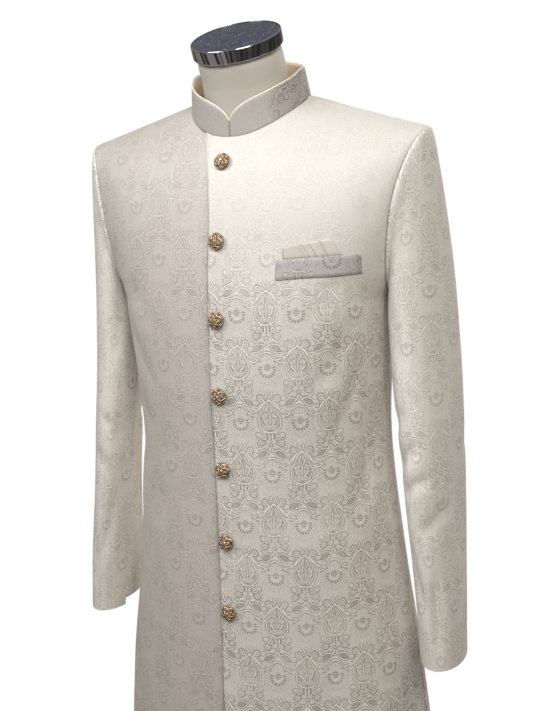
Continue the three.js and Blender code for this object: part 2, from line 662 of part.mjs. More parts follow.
for (const [name, geometry] of Object.entries({ ...panels(), ...sleeves() })) {
  add(name, geometry, "brocade");
}
add("collar_outer", collarLayer(0), "brocade");
add("collar_inner", collarLayer(COLLAR.wall + 0.3), "collar_inside");
add("pocket_welt", weltGeometry(), "brocade");
add("pocket_square", pocketSquareGeometry(), "brocade");

for (let i = 0; i < BUTTONS.count; i++) {
  const seat = onLeftFront(BUTTONS.x, BUTTONS.topZ - BUTTONS.pitch * i, 0.4);
  const button = add("button_" + (i + 1), buttonGeometry(), "gilt");
  button.position.copy(seat.p);
  button.quaternion.setFromUnitVectors(new THREE.Vector3(0, 0, 1), seat.n);
}

const body = manifoldOf(trunkGeometry()).add(manifoldOf(neckGeometry()));
add("form_body", geometryOf(body), "form");
for (const [name, geometry] of Object.entries(capGeometries())) {
  add(name, geometry, name === "cap_ring" ? "chrome" : "lid");
}
for (const [name, geometry] of Object.entries(standGeometries())) add(name, geometry, "chrome");

export default coat;
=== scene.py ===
"""Looks for the sherwani coat on its dress form: cloth shells on the CAD's own surfaces, with
folds, a woven brocade, filigree buttons and the smooth form and stand.

Lengths in the tables are millimetres, as in the CAD. Meshes are made in metres.
"""

import math
from typing import NamedTuple

import bmesh
import bpy
import numpy as np
from mathutils import Matrix, Vector


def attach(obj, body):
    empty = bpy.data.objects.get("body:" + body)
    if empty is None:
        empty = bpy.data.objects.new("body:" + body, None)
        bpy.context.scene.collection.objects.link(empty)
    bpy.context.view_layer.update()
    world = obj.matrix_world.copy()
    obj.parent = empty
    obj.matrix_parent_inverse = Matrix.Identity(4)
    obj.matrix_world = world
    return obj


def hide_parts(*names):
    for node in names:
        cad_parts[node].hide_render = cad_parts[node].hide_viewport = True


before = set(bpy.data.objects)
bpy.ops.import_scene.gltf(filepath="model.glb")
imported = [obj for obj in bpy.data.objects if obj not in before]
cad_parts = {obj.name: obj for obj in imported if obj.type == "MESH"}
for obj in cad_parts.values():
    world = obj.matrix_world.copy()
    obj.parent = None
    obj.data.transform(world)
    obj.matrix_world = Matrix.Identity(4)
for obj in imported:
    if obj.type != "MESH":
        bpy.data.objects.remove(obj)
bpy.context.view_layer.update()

MM = 0.001

# ---- driving dimensions, shared with the CAD ----
CLOTH = 2.0
SLEEVE_CLOTH = 1.6
SEAM_INSET = 0.15
OVERLAP_LEFT = (14, 33)  # how far the upper front passes the centre line: on the body, at the neck
OVERLAP_RIGHT = 26  # the same for the under front
UNDERLAP_DROP = CLOTH + 0.8  # how far the under front lies in, and between which distances it comes out
UNDERLAP_FADE = (20, 75)
SLIT_TOP = 880
# At the hem, how far each panel's slit edge swings towards the centre line, and forward.
SLITS = {"front_left": (3, 5), "back_left": (-2, -3), "front_right": (42, 50), "back_right": (16, -2)}
NECK_A, NECK_B, NECK_Y = 75, 68, 1  # the neckline's oval: half width, half depth and middle
UNDERARM, RIDGE = 6, 13  # row numbers
HEM_STITCH, CUFF_STITCH = 478, 26  # stitched lines: their height on the body, and above the cuff
PANEL_LENGTH, PANEL_WIDTH = 1070, 280  # about a panel's size, for turning its shares into distances
SLEEVE_GIRTH = 2 * math.pi * 47  # about a sleeve's size round


class Row(NamedTuple):
    """One curve across the body, from the centre line (cy, cz) to the side seam or armhole (ex, ey, ez).
    turn is its heading there in degrees. pc and pe are how far each end's handle reaches."""
    cy: float
    cz: float
    ex: float
    ey: float
    ez: float
    turn: float
    pc: float
    pe: float


FRONT_ROWS = [
    Row(-150, 450, 232, 2, 450, 90, 130, 80), Row(-142, 600, 220, 3, 600, 90, 124, 76),
    Row(-132, 790, 200, 4, 790, 90, 112, 71), Row(-127, 900, 184, 4, 900, 90, 105, 70),
    Row(-124, 1060, 167, 4, 1060, 90, 98, 70), Row(-125, 1150, 168, 4, 1150, 90, 106, 80),
    Row(-122, 1230, 173, 5, 1240, 90, 117, 90), Row(-119, 1270, 176, -31, 1262, 75, 99, 64),
    Row(-112, 1314, 182, -51, 1308, 58, 88, 53), Row(-101, 1362, 190, -54, 1360, 46, 87, 56),
    Row(-85, 1410, 203, -41, 1406, 34, 86, 65), Row(-60, 1450, 214, -24, 1431, 20, 81, 73),
    Row(-30, 1484, 219, -11, 1438.5, 9, 76, 76), Row(4, 1508, 222, 2, 1442, 0, 75, 75),
]
BACK_ROWS = [
    Row(152, 450, 232, 2, 450, 90, 132, 82), Row(142, 600, 220, 3, 600, 90, 125, 77),
    Row(127, 790, 200, 4, 790, 90, 113, 69), Row(119, 900, 184, 4, 900, 90, 105, 64),
    Row(102, 1060, 167, 4, 1060, 90, 98, 56), Row(105, 1150, 168, 4, 1150, 90, 102, 63),
    Row(112, 1244, 173, 5, 1240, 90, 112, 74), Row(114, 1276, 177, 40, 1262, 72, 95, 54),
    Row(115, 1318, 184, 62, 1308, 55, 87, 50), Row(113, 1368, 191, 66, 1360, 44, 87, 55),
    Row(105, 1422, 204, 49, 1406, 33, 86, 63), Row(88, 1476, 215, 27, 1432, 20, 80, 74),
    Row(60, 1505, 219.5, 14, 1438.5, 9, 76, 76), Row(4, 1508, 222, 2, 1442, 0, 75, 75),
]


class Ring(NamedTuple):
    """One oval round the sleeve: its middle, its half widths, and its turn about Z in degrees."""
    cx: float
    cy: float
    cz: float
    rx: float
    ry: float
    turn: float


SLEEVE_ROWS = [
    Ring(211, 10, 1220, 31, 63, 17), Ring(215, 9, 1150, 31, 64, 17), Ring(221, 4, 1070, 29, 63, 15),
    Ring(227, -1, 980, 27, 61, 12), Ring(233, -6, 880, 28, 56, 5), Ring(236, -9, 800, 28, 52, 0),
]
CUFF_Z = {"left": 794, "right": 812}
CUFF_STEP = {"upper": -4, "under": 5}  # the right cuff hangs open a little at its seam
HEAD_REACH, HEAD_SHARE, HEAD_RISE = 11, 0.2, 0.35  # how the sleeve's head bulges past the armhole
FRONT_SEAM_LEVEL, BACK_SEAM_LEVEL = 7, 8.5  # the rows at which the sleeve's seams leave the armhole

COLLAR = dict(back=40, side=31, front=35, wall=1.3, foot=2, lean=5, lie=0.22, radius=34, meet=11)
COLLAR_SEWN = -1.2  # the outer band's foot, just under the neckline so that no gap shows
BUTTONS = dict(count=7, pitch=90.5, x=-3, top=1411, radius=10, height=7.5)
WELT = dict(x=69, z=1298, width=90, height=22.5, rise=4, wall=1.8, clear=0.4)
CAP = dict(y=-32.3, z=1542.4, tilt=24.6, radius=55, height=16.5, lid_inset=1.6, lid=3)
BASE = dict(radius=190, thick=10, dome=8)
POLE_RADIUS = 16
FORM_BOTTOM = 760


# ---- curves ----
def catmull(points, closed=False):
    """A centripetal curve through points. at(t) takes t in points, and returns places."""
    pts = np.asarray(points, float)
    n = len(pts)
    spans = n if closed else n - 1
    coefs = []
    for i in range(spans):
        if closed:
            p0, p1, p2, p3 = (pts[(i + j) % n] for j in (-1, 0, 1, 2))
        else:
            p1, p2 = pts[i], pts[i + 1]
            p0 = pts[i - 1] if i else 2 * pts[0] - pts[1]
            p3 = pts[i + 2] if i + 2 < n else 2 * pts[-1] - pts[-2]
        d0, d1, d2 = (math.sqrt(np.linalg.norm(b - a)) for a, b in ((p0, p1), (p1, p2), (p2, p3)))
        d1 = d1 if d1 > 1e-4 else 1
        d0 = d0 if d0 > 1e-4 else d1
        d2 = d2 if d2 > 1e-4 else d1
        t1 = d1 * ((p1 - p0) / d0 - (p2 - p0) / (d0 + d1) + (p2 - p1) / d1)
        t2 = d1 * ((p2 - p1) / d1 - (p3 - p1) / (d1 + d2) + (p3 - p2) / d2)
        coefs.append([p1, t1, -3 * p1 + 3 * p2 - 2 * t1 - t2, 2 * p1 - 2 * p2 + t1 + t2])
    coefs = np.array(coefs)

    def at(t):
        t = np.asarray(t, float)
        i = np.clip(np.floor(t).astype(int), 0, spans - 1)
        w = (t - i)[..., None]
        c = coefs[i]
        return c[..., 0, :] + w * (c[..., 1, :] + w * (c[..., 2, :] + w * c[..., 3, :]))

    return at


def bezier(p0, p1, p2, p3, t):
    """The place at t, from 0 to 1, on a cubic curve with handles p1 and p2."""
    return (1 - t) ** 3 * p0 + 3 * (1 - t) ** 2 * t * p1 + 3 * (1 - t) * t ** 2 * p2 + t ** 3 * p3


def smoothstep(x, a, b):
    """0 at a and 1 at b, with soft ends. a may be above b."""
    t = np.clip((np.asarray(x, float) - a) / (b - a), 0, 1)
    return t * t * (3 - 2 * t)


def unit(v):
    return v / np.maximum(np.linalg.norm(v, axis=-1, keepdims=True), 1e-12)


def run_along(points):
    """The distance along a line of points to each of them."""
    return np.concatenate([[0], np.cumsum(np.linalg.norm(np.diff(points, axis=0), axis=1))])


def close_to(distance, width):
    """1 at no distance, fading to nothing over about twice the width."""
    return np.exp(-(distance / width) ** 2)


# ---- the body surface ----
class HalfSurface:
    """Half a front (facing 1) or half a back (facing -1), as in the CAD: s from 0 on the centre line to 1
    on the side seam or armhole, k the row number from 0 at the hem."""

    def __init__(self, rows, facing, slit):
        self.rows, self.facing, self.slit = rows, facing, slit
        self.centre = catmull([(0, r.cy, r.cz) for r in rows])
        self.edge = self.cornered([(r.ex, r.ey, r.ez) for r in rows])
        self.shape = self.cornered([(r.turn, r.pc, r.pe) for r in rows])

    @staticmethod
    def cornered(points):
        below, above = catmull(points[:UNDERARM + 1]), catmull(points[UNDERARM:])

        def at(k):
            k = np.asarray(k, float)
            low, high = below(np.minimum(k, UNDERARM)), above(np.maximum(k, UNDERARM) - UNDERARM)
            return np.where((k <= UNDERARM)[..., None], low, high)

        return at

    def point(self, s, k):
        s, k = np.broadcast_arrays(np.asarray(s, float), np.asarray(k, float))
        c, e, form = self.centre(k), self.edge(k), self.shape(k)
        heading = np.radians(form[..., 0])
        rise = (e[..., 2] - c[..., 2]) / 3
        a = np.stack([c[..., 0] + form[..., 1], c[..., 1], c[..., 2] + rise], -1)
        b = np.stack([
            e[..., 0] - form[..., 2] * np.cos(heading),
            e[..., 1] - self.facing * form[..., 2] * np.sin(heading),
            e[..., 2] - rise], -1)
        p = bezier(c, a, b, e, np.abs(s)[..., None])
        low = np.maximum(0, (SLIT_TOP - p[..., 2]) / (SLIT_TOP - self.rows[0].cz))
        swing = low ** 1.4 * np.abs(s) ** 4
        p[..., 0] -= swing * self.slit[0]
        p[..., 1] -= swing * self.slit[1]
        p[..., 0] = np.where(s < 0, -p[..., 0], p[..., 0])
        return p

    def normal(self, s, k):
        s, k = np.broadcast_arrays(np.asarray(s, float), np.asarray(k, float))
        across = self.point(np.minimum(1, s + 0.002), k) - self.point(s - 0.002, k)
        up = self.point(s, np.minimum(RIDGE, k + 0.01)) - self.point(s, np.maximum(0, k - 0.01))
        n = unit(np.cross(across, up) * self.facing)
        seam_and_painted_shade = (s > 0.99) & (k <= UNDERARM) & (self.point(s, k)[..., 2] > SLIT_TOP)
        flat = (seam_and_painted_shade | (k > RIDGE - 0.05))[..., None]
        return np.where(flat, unit(n * [1, 0, 1]), n)

    def off_edge(self, k):
        k = np.asarray(k, float)
        along = self.point(1, k) - self.point(0.98, k)
        rail = self.point(1, np.minimum(RIDGE, k + 0.02)) - self.point(1, np.maximum(0, k - 0.02))
        off = unit(np.cross(rail, self.normal(1, k)))
        off *= np.sign((off * along).sum(-1, keepdims=True))
        return np.where((np.abs(k - UNDERARM) < 1e-6)[..., None], [0, self.facing, 1], off)

    def at_x(self, x, k):
        """The s at which row k is at distance x from the centre line."""
        x, k = np.broadcast_arrays(np.asarray(x, float), np.asarray(k, float))
        low, high = np.zeros(x.shape), np.ones(x.shape)
        for _ in range(26):
            mid = (low + high) / 2
            short = self.point(mid, k)[..., 0] < x
            low, high = np.where(short, mid, low), np.where(short, high, mid)
        return (low + high) / 2

    def top(self, s):
        """The row at which a column meets the neckline, or the ridge where it passes beside the neck."""
        s = np.abs(np.asarray(s, float))

        def outside(k):
            p = self.point(s, k)
            return (p[..., 0] / NECK_A) ** 2 + ((p[..., 1] - NECK_Y) / NECK_B) ** 2 > 1

        low, high = np.full(s.shape, UNDERARM + 1.0), np.full(s.shape, float(RIDGE))
        beside = outside(high)
        for _ in range(26):
            mid = (low + high) / 2
            out = outside(mid)
            low, high = np.where(out, mid, low), np.where(out, high, mid)
        return np.where(beside, RIDGE, low)

    def locate(self, x, z):
        """The (s, k) of the surface at distance x from the centre and height z."""
        x, z = np.broadcast_arrays(np.asarray(x, float), np.asarray(z, float))
        low, high = np.zeros(x.shape), np.full(x.shape, float(RIDGE))
        for _ in range(26):
            mid = (low + high) / 2
            under = self.point(np.sign(x) * self.at_x(np.abs(x), mid), mid)[..., 2] < z
            low, high = np.where(under, mid, low), np.where(under, high, mid)
        return np.sign(x) * self.at_x(np.abs(x), low), low


SURFACES = {
    name: HalfSurface(FRONT_ROWS if "front" in name else BACK_ROWS, 1 if "front" in name else -1, slit)
    for name, slit in SLITS.items()
}


# ---- meshes ----
def make_object(name, verts, faces, uv=None, attributes=None):
    """A smooth-shaded mesh object from millimetre places. uv is one pair a vertex, in metres of cloth."""
    mesh = bpy.data.meshes.new(name)
    mesh.from_pydata((np.asarray(verts) * MM).tolist(), [], [tuple(map(int, f)) for f in faces])
    if uv is not None:
        layer = mesh.uv_layers.new(name="cloth")
        loops = np.zeros(len(mesh.loops), int)
        mesh.loops.foreach_get("vertex_index", loops)
        layer.data.foreach_set("uv", np.asarray(uv, np.float32)[loops].ravel())
    for key, values in (attributes or {}).items():
        mesh.attributes.new(key, "FLOAT", "POINT").data.foreach_set("value", np.asarray(values, np.float32))
    mesh.shade_smooth()
    mesh.validate()
    obj = bpy.data.objects.new(name, mesh)
    bpy.context.scene.collection.objects.link(obj)
    return obj


def grid_faces(rows, cols, start=0, closed=False):
    i, j = np.meshgrid(np.arange(rows if closed else rows - 1), np.arange(cols - 1), indexing="ij")
    a, b = start + i * cols + j, start + ((i + 1) % rows) * cols + j
    return np.stack([a, b, b + 1, a + 1], -1).reshape(-1, 4)


def band_faces(rings, spokes):
    """Quads between neighbouring rings of spokes vertices each."""
    faces = []
    for i in range(rings - 1):
        for j in range(spokes):
            a, b = i * spokes + j, i * spokes + (j + 1) % spokes
            faces.append((a, b, b + spokes, a + spokes))
    return faces


def rim_faces(outer, inner):
    """Quads between two closed loops of vertex numbers."""
    return [(outer[i], inner[i], inner[(i + 1) % len(outer)], outer[(i + 1) % len(outer)])
            for i in range(len(outer))]


def grid_loop(rows, cols, start=0):
    """The vertex numbers round the edge of a grid."""
    first = [start + j for j in range(cols)]
    right = [start + i * cols + cols - 1 for i in range(1, rows)]
    last = [start + (rows - 1) * cols + j for j in range(cols - 2, -1, -1)]
    left = [start + i * cols for i in range(rows - 2, 0, -1)]
    return first + right + last + left


def shell_object(name, p, n, wall, uv, seam_and_painted_shade=None, plain=None):
    """A thin shell on a grid of places p, with its inner face wall inside and a rounded edge. From 0 to 1,
    seam is how much painted shade darkens a place along seams, folds and edges, and plain how far its figure
    has faded, which on the body panels is partly painted sheen."""
    rows, cols = p.shape[:2]
    count = rows * cols
    loop = grid_loop(rows, cols)
    outer, inner = p.reshape(-1, 3), (p - n * wall).reshape(-1, 3)
    flat_uv = uv.reshape(-1, 2)
    centre = (outer + inner) / 2
    pull = np.roll(outer[loop], -1, 0) - np.roll(outer[loop], 1, 0)
    outward = unit(np.cross(pull, n.reshape(-1, 3)[loop]))
    probe = outer[loop] - p[rows // 2, cols // 2]
    if (outward * probe).sum() < 0:
        outward = -outward
    lip = centre[loop] + outward * wall * 0.3
    verts = np.concatenate([outer, inner, lip])
    coords = np.concatenate([flat_uv, flat_uv, flat_uv[loop]])
    lip_loop = [2 * count + i for i in range(len(loop))]
    faces = [tuple(f) for f in grid_faces(rows, cols)]
    faces += [tuple(f[::-1]) for f in grid_faces(rows, cols, count)]
    faces += rim_faces(loop, lip_loop)
    faces += rim_faces(lip_loop, [count + v for v in loop])
    shades = {}
    for key, values in (("seam_and_painted_shade", seam_and_painted_shade), ("plain", plain)):
        flat = (np.zeros(p.shape[:2]) if values is None else np.clip(values, 0, 1)).reshape(-1)
        shades[key] = np.concatenate([flat, flat, flat[loop]])
    obj = make_object(name, verts, faces, coords, shades)
    fix_normals(obj)
    return obj


def fix_normals(obj):
    """Turns every face outward."""
    bm = bmesh.new()
    bm.from_mesh(obj.data)
    bmesh.ops.recalc_face_normals(bm, faces=bm.faces)
    if bm.calc_volume(signed=True) < 0:
        bmesh.ops.reverse_faces(bm, faces=bm.faces)
    bm.to_mesh(obj.data)
    bm.free()


def weld(obj):
    """Joins the vertices that coincide, and turns the faces one way."""
    bm = bmesh.new()
    bm.from_mesh(obj.data)
    bmesh.ops.remove_doubles(bm, verts=bm.verts, dist=1e-7)
    bmesh.ops.recalc_face_normals(bm, faces=bm.faces)
    bm.to_mesh(obj.data)
    bm.free()
    return obj


def crowded(count, fine, length):
    """Even shares from 0 to 1, with a few extra close to both ends, about fine apart on the given length."""
    near = np.array([0, 0.3, 0.7, 1.3]) * fine / length
    middle = np.linspace(near[-1] * 2, 1 - near[-1] * 2, count)
    return np.concatenate([near, middle, 1 - near[::-1]])


# ---- folds, placed in the cloth's own metres ----
# A crease is (u0, v0, u1, v1, depth, width, bow): its two ends, in metres across and up the cloth, its depth
# in millimetres, negative for a ridge, its width in metres, and how far its middle swings sideways.
def fold_depth(uv, creases):
    """How far the cloth sinks at each place, in millimetres."""
    sink = np.zeros(uv.shape[:-1])
    for u0, v0, u1, v1, depth, width, bow in creases:
        d = np.array([u1 - u0, v1 - v0])
        length = np.linalg.norm(d)
        d /= length
        rel = uv - [u0, v0]
        t = (rel @ d) / length
        side = rel @ np.array([-d[1], d[0]]) - bow * 4 * t * (1 - t)
        ends = np.exp(-np.maximum(0, np.abs(t - 0.5) * 2 - 0.35) ** 2 / 0.16)
        sink += depth * ends * close_to(side, width)
    return sink


def hand(uv, seed, size):
    """The slight unevenness of hung cloth, in millimetres: a few slow waves."""
    u, v = uv[..., 0], uv[..., 1]
    total = np.zeros(u.shape)
    for i in range(5):
        a = seed * 2.1 + i * 1.9
        wave = 22 + 13 * i
        total += np.sin(u * wave * math.cos(a) + v * wave * 0.45 * math.sin(a) + a * 3.7) / (1 + 0.6 * i)
    return total * size


# ---- body panels ----
CHEST_FOLDS = [  # soft drags from the armhole towards the chest, and down the side of the waist
    (0.165, 1.235, 0.095, 1.13, 2.2, 0.012, 0.006), (0.175, 1.19, 0.12, 1.07, 2.7, 0.010, 0.008),
    (0.150, 1.29, 0.085, 1.21, 1.4, 0.011, 0.004), (0.190, 1.14, 0.165, 0.98, 2.1, 0.010, 0.004),
    (0.20, 1.06, 0.15, 0.93, -1.8, 0.014, 0.005), (0.05, 1.02, 0.14, 0.97, 1.3, 0.016, 0.004),
    (0.12, 0.90, 0.125, 0.60, 2.2, 0.022, 0.006), (0.20, 0.86, 0.215, 0.52, -3.1, 0.024, 0.004),
    (0.045, 0.80, 0.05, 0.50, 1.7, 0.020, 0.005), (0.165, 1.40, 0.175, 1.33, 1.1, 0.010, 0.003),
]
BACK_FOLDS = [
    (0.165, 1.26, 0.10, 1.15, 1.7, 0.012, 0.006), (0.17, 1.20, 0.12, 1.06, 1.5, 0.011, 0.006),
    (0.03, 1.10, 0.15, 1.06, 1.3, 0.012, 0.004), (0.02, 1.05, 0.13, 1.04, 1.0, 0.011, -0.003),
    (0.09, 0.92, 0.10, 0.55, 2.0, 0.024, 0.006), (0.19, 0.88, 0.20, 0.50, -2.2, 0.024, 0.004),
    (0.11, 1.42, 0.14, 1.33, 1.0, 0.012, 0.004),
]


HAND_SEED = {"front_left": 1, "front_right": 2.4, "back_left": 3.3, "back_right": 4.6}


class Panel(NamedTuple):
    """A body panel on its surface, before folds. Grids hold a value for each level and share."""
    name: str
    s: np.ndarray
    k: np.ndarray
    p: np.ndarray
    n: np.ndarray
    start: np.ndarray  # s on the centre edge, level by level
    past: np.ndarray  # how far that edge passes the centre line
    tops: np.ndarray  # the row at which each column ends


def panel_shares(name):
    """The panel's parameter grid: levels up the rows, and shares across from its centre edge."""
    surface = SURFACES[name]
    lookup = np.linspace(0, RIDGE, 400)
    run = run_along(surface.point(0.5, lookup))
    levels = np.interp(crowded(200, 3.0, PANEL_LENGTH) * run[-1], run, lookup)
    past = centre_edge(name, np.array([float(RIDGE)]))[0]
    start = -np.sign(past) * surface.at_x(abs(past), RIDGE)
    corner = (surface.at_x(NECK_A, RIDGE) - start) / (1 - start)
    beside_neck = corner - 0.22 * np.linspace(0, 1, 16) ** 2
    shares = crowded(58, 3.0, PANEL_WIDTH)
    shares = shares[(shares > corner + 0.004) | (shares < beside_neck[-1] - 0.006)]
    return levels, np.sort(np.concatenate([shares, beside_neck]))


def centre_edge(name, levels):
    """How far a panel passes the centre line at each level."""
    if name == "front_left":
        share = np.maximum(0, (levels - 8) / (RIDGE - 8)) ** 2.3
        return OVERLAP_LEFT[0] + (OVERLAP_LEFT[1] - OVERLAP_LEFT[0]) * share
    return np.full(levels.shape, float(OVERLAP_RIGHT if name == "front_right" else -SEAM_INSET))


def panel_places(name):
    """The panel on its surface, with its top row on the neckline and its edges inset for the seams."""
    surface = SURFACES[name]
    levels, shares = panel_shares(name)
    past = centre_edge(name, levels)[:, None]
    start = -np.sign(past) * surface.at_x(np.abs(past), levels[:, None])
    s = start + (1 - start) * shares
    tops = surface.top(s[-1])
    fixed = UNDERARM + 1
    share = np.maximum(0, (levels - fixed) / (RIDGE - fixed))[:, None]
    k = np.where(share > 0, fixed + share * (tops - fixed), levels[:, None])
    p, n = surface.point(s, k), surface.normal(s, k)
    p[:, -1] -= surface.off_edge(k[:, -1]) * SEAM_INSET
    ridge = (levels[:, None] >= RIDGE - 1e-6) & (k >= RIDGE - 1e-6)
    p[..., 1] -= np.where(ridge, surface.facing * SEAM_INSET, 0)
    return Panel(name, s, k, p, n, start, past, tops)


def panel_uv(panel):
    """Cloth places in metres: u across from the centre line and v up from the floor, along the cloth."""
    surface = SURFACES[panel.name]
    rows = np.linspace(0, RIDGE, 300)
    rail = surface.point(0, rows)
    climb = run_along(rail) + rail[0, 2]  # from the hem's own height, so that patterns level up
    fine = np.linspace(-0.35, 1, 160)
    u = np.zeros(panel.s.shape)
    for i, k in enumerate(panel.k[:, panel.k.shape[1] // 2]):
        arc = run_along(surface.point(fine, k))
        u[i] = np.interp(panel.s[i], fine, arc - np.interp(0, fine, arc))
    v = np.interp(panel.k, rows, climb) + (panel.p[..., 2] - surface.point(0 * panel.s, panel.k)[..., 2])
    return np.stack([u, v], -1) * MM


def seam_depth(panel):
    """The groove along the side seam, and along the centre seam of a back."""
    sewn = panel.p[..., 2] > SLIT_TOP - 15
    seam_and_painted_shade = 0.45 * close_to((1 - panel.s) * PANEL_WIDTH, 1.6) * sewn
    if "back" in panel.name:
        seam_and_painted_shade = seam_and_painted_shade + 0.5 * close_to((panel.s - panel.start) * PANEL_WIDTH, 1.6)
    return seam_and_painted_shade


def panel_sink(panel, uv):
    """How far the cloth lies in from the surface: folds, seams, stitched lines and the under front."""
    name, x, z = panel.name, panel.p[..., 0], panel.p[..., 2]
    front = "front" in name
    to_edge = (1 - panel.s) * PANEL_WIDTH
    sink = fold_depth(uv, CHEST_FOLDS if front else BACK_FOLDS) + hand(uv, HAND_SEED[name], 0.45)
    calm = smoothstep(to_edge, 0, 18) * smoothstep(panel.tops - panel.k, 0, 0.5)
    calm *= smoothstep(np.abs(x), 12, 34) if front else smoothstep(np.abs(x), 0, 20)
    sink = sink * calm + seam_depth(panel)
    sink -= 0.5 * close_to(to_edge - 9, 6) * (panel.k > UNDERARM)
    sink += 0.35 * close_to(z - HEM_STITCH, 1.6)
    if name == "front_right":
        beyond = x - centre_edge("front_left", panel.k)
        sink += UNDERLAP_DROP * (1 - smoothstep(x, *UNDERLAP_FADE))
        sink += 0.7 * close_to(beyond - 0.6, 2.2)
    else:
        sink = np.maximum(sink, -1.8)
    if name == "front_left":
        placket = np.abs(x + panel.past)
        sink += 0.25 * close_to(placket - 5.5, 1.5) - 0.35 * close_to(placket, 2.5)
    return sink


def panel_painted_shade(panel):
    """Painted shade: how much each place is darkened in the grooves of its seams, beside the upper front's
    edge on the under front, and along the upper front's own edge.
    """
    painted_shade = 0.35 * seam_depth(panel)
    if panel.name == "front_right":
        beyond = panel.p[..., 0] - centre_edge("front_left", panel.k)
        painted_shade = painted_shade + close_to(beyond - 0.4, 1.5) + 0.35 * close_to(beyond, 6)
    if panel.name == "front_left":
        painted_shade = painted_shade + 0.5 * close_to(np.abs(panel.p[..., 0] + panel.past), 0.9)
    return painted_shade


def panel_plain_and_painted_sheen(panel):
    """How far the figure fades: most on the upper chest, where the satin's highlight hides it in the photo,
    so that there the fade is painted sheen.
    """
    plain = smoothstep(panel.p[..., 2] + 0.25 * panel.p[..., 0], 1215, 1375) * 0.85
    if panel.name == "front_right":
        return np.maximum(0.5, plain * 0.7)
    return plain if "front" in panel.name else plain * 0.5 + 0.3


def mirror(p, n, uv):
    """A left piece as its right twin."""
    flip = np.array([-1, 1, 1])
    return p * flip, n * flip, uv * [-1, 1]


def make_panels():
    made = {}
    for name in SLITS:
        panel = panel_places(name)
        uv = panel_uv(panel)
        p, n = panel.p - panel.n * panel_sink(panel, uv)[..., None], panel.n
        if name.endswith("right"):
            p, n, uv = mirror(p, n, uv)
        if "back" in name:
            uv = uv + [0.5, 0]
        made[name] = shell_object(name + "_cloth", p, n, CLOTH, uv, panel_painted_shade(panel), panel_plain_and_painted_sheen(panel))
    return made


# ---- sleeves ----
SLEEVE_FOLDS = {  # u: metres round the sleeve from the shoulder tip forward, v: height
    "left": [
        (0.045, 1.075, 0.115, 1.035, 4.8, 0.010, 0.004), (0.030, 1.035, 0.105, 1.005, 3.8, 0.009, 0.005),
        (0.060, 1.115, 0.120, 1.085, 2.9, 0.010, 0.004), (0.010, 1.00, 0.075, 0.965, 2.9, 0.010, -0.004),
        (0.085, 1.26, 0.065, 1.15, 2.2, 0.010, 0.004), (0.10, 0.96, 0.075, 0.85, 2.9, 0.010, 0.004),
        (0.045, 0.93, 0.060, 0.80, 3.5, 0.012, 0.005), (-0.09, 1.09, -0.03, 1.05, 3.2, 0.010, 0.003),
        (-0.10, 1.03, -0.04, 1.00, 2.6, 0.010, 0.003), (0.14, 1.09, 0.19, 1.04, 3.5, 0.011, 0.004),
        (0.15, 1.03, 0.20, 0.99, 2.7, 0.011, 0.004), (-0.06, 0.92, -0.05, 0.82, 2.6, 0.012, 0.003),
    ],
    "right": [
        (0.050, 1.09, 0.120, 1.04, 3.5, 0.010, 0.004), (0.030, 1.04, 0.100, 1.00, 2.6, 0.010, 0.004),
        (0.095, 1.26, 0.075, 1.14, 2.2, 0.010, 0.004), (0.10, 0.99, 0.070, 0.87, 2.9, 0.012, 0.004),
        (-0.09, 1.08, -0.03, 1.04, 3.2, 0.010, 0.003), (-0.10, 1.01, -0.04, 0.98, 2.4, 0.010, 0.003),
        (0.14, 1.10, 0.19, 1.05, 3.2, 0.011, 0.004), (0.055, 0.93, 0.060, 0.83, 2.4, 0.012, 0.003),
    ],
}


def sleeve_ring(row, turn, cuff_z=None):
    """Places round one oval of the sleeve, at each turn from 0 to 1."""
    angle = turn * 2 * np.pi
    across, along = row.rx * np.cos(angle), -row.ry * np.sin(angle)
    swing = math.radians(row.turn)
    z = np.full(turn.shape, float(row.cz if cuff_z is None else cuff_z))
    return np.stack([
        row.cx + across * math.cos(swing) + along * math.sin(swing),
        row.cy - across * math.sin(swing) + along * math.cos(swing), z], -1)


def armhole(front, back, turn):
    """Places round the armhole: turn 0 is the shoulder tip, and 0.5 is under the arm."""
    k = RIDGE - np.minimum(turn, 1 - turn) * 2 * (RIDGE - UNDERARM)
    near = (turn <= 0.5)[:, None]
    off = np.where(near, front.off_edge(k), back.off_edge(k))
    off = np.where((np.abs(turn - 0.5) < 0.01)[:, None], [0, 0, 1], off)
    return np.where(near, front.point(1, k), back.point(1, k)) + off * SEAM_INSET


def sleeve_surface(side, turns):
    """Columns down the sleeve at each turn, from the armhole to the cuff: places[turn, step]."""
    front, back = SURFACES["front_" + side], SURFACES["back_" + side]
    turn = np.mod(turns, 1.0)
    start = armhole(front, back, turn)
    rings = [sleeve_ring(row, turn) for row in SLEEVE_ROWS]
    rings[-1] = sleeve_ring(SLEEVE_ROWS[-1], turn, CUFF_Z[side])
    first = rings[0]
    fall = unit(rings[1] - first)
    span = np.linalg.norm(start - first, axis=1)[:, None]
    outward = unit(np.stack([np.ones(len(turn)), 0 * turn, HEAD_RISE * np.cos(2 * np.pi * turn)], -1))
    a = start + outward * np.minimum(HEAD_REACH, span * HEAD_SHARE)
    b = first - fall * span * 0.4
    head_share = np.concatenate([[0, 0.004, 0.012, 0.026], np.linspace(0.05, 1, 34)[:-1]])
    last = len(rings) - 1
    steps = np.concatenate([np.linspace(0, last - 0.012, 96), [last - 0.005, last]])
    columns = []
    for i in range(len(turn)):
        head = bezier(start[i], a[i], b[i], first[i], head_share[:, None])
        tube = catmull([r[i] for r in rings])(steps)
        columns.append(np.concatenate([head, tube]))
    return np.array(columns)


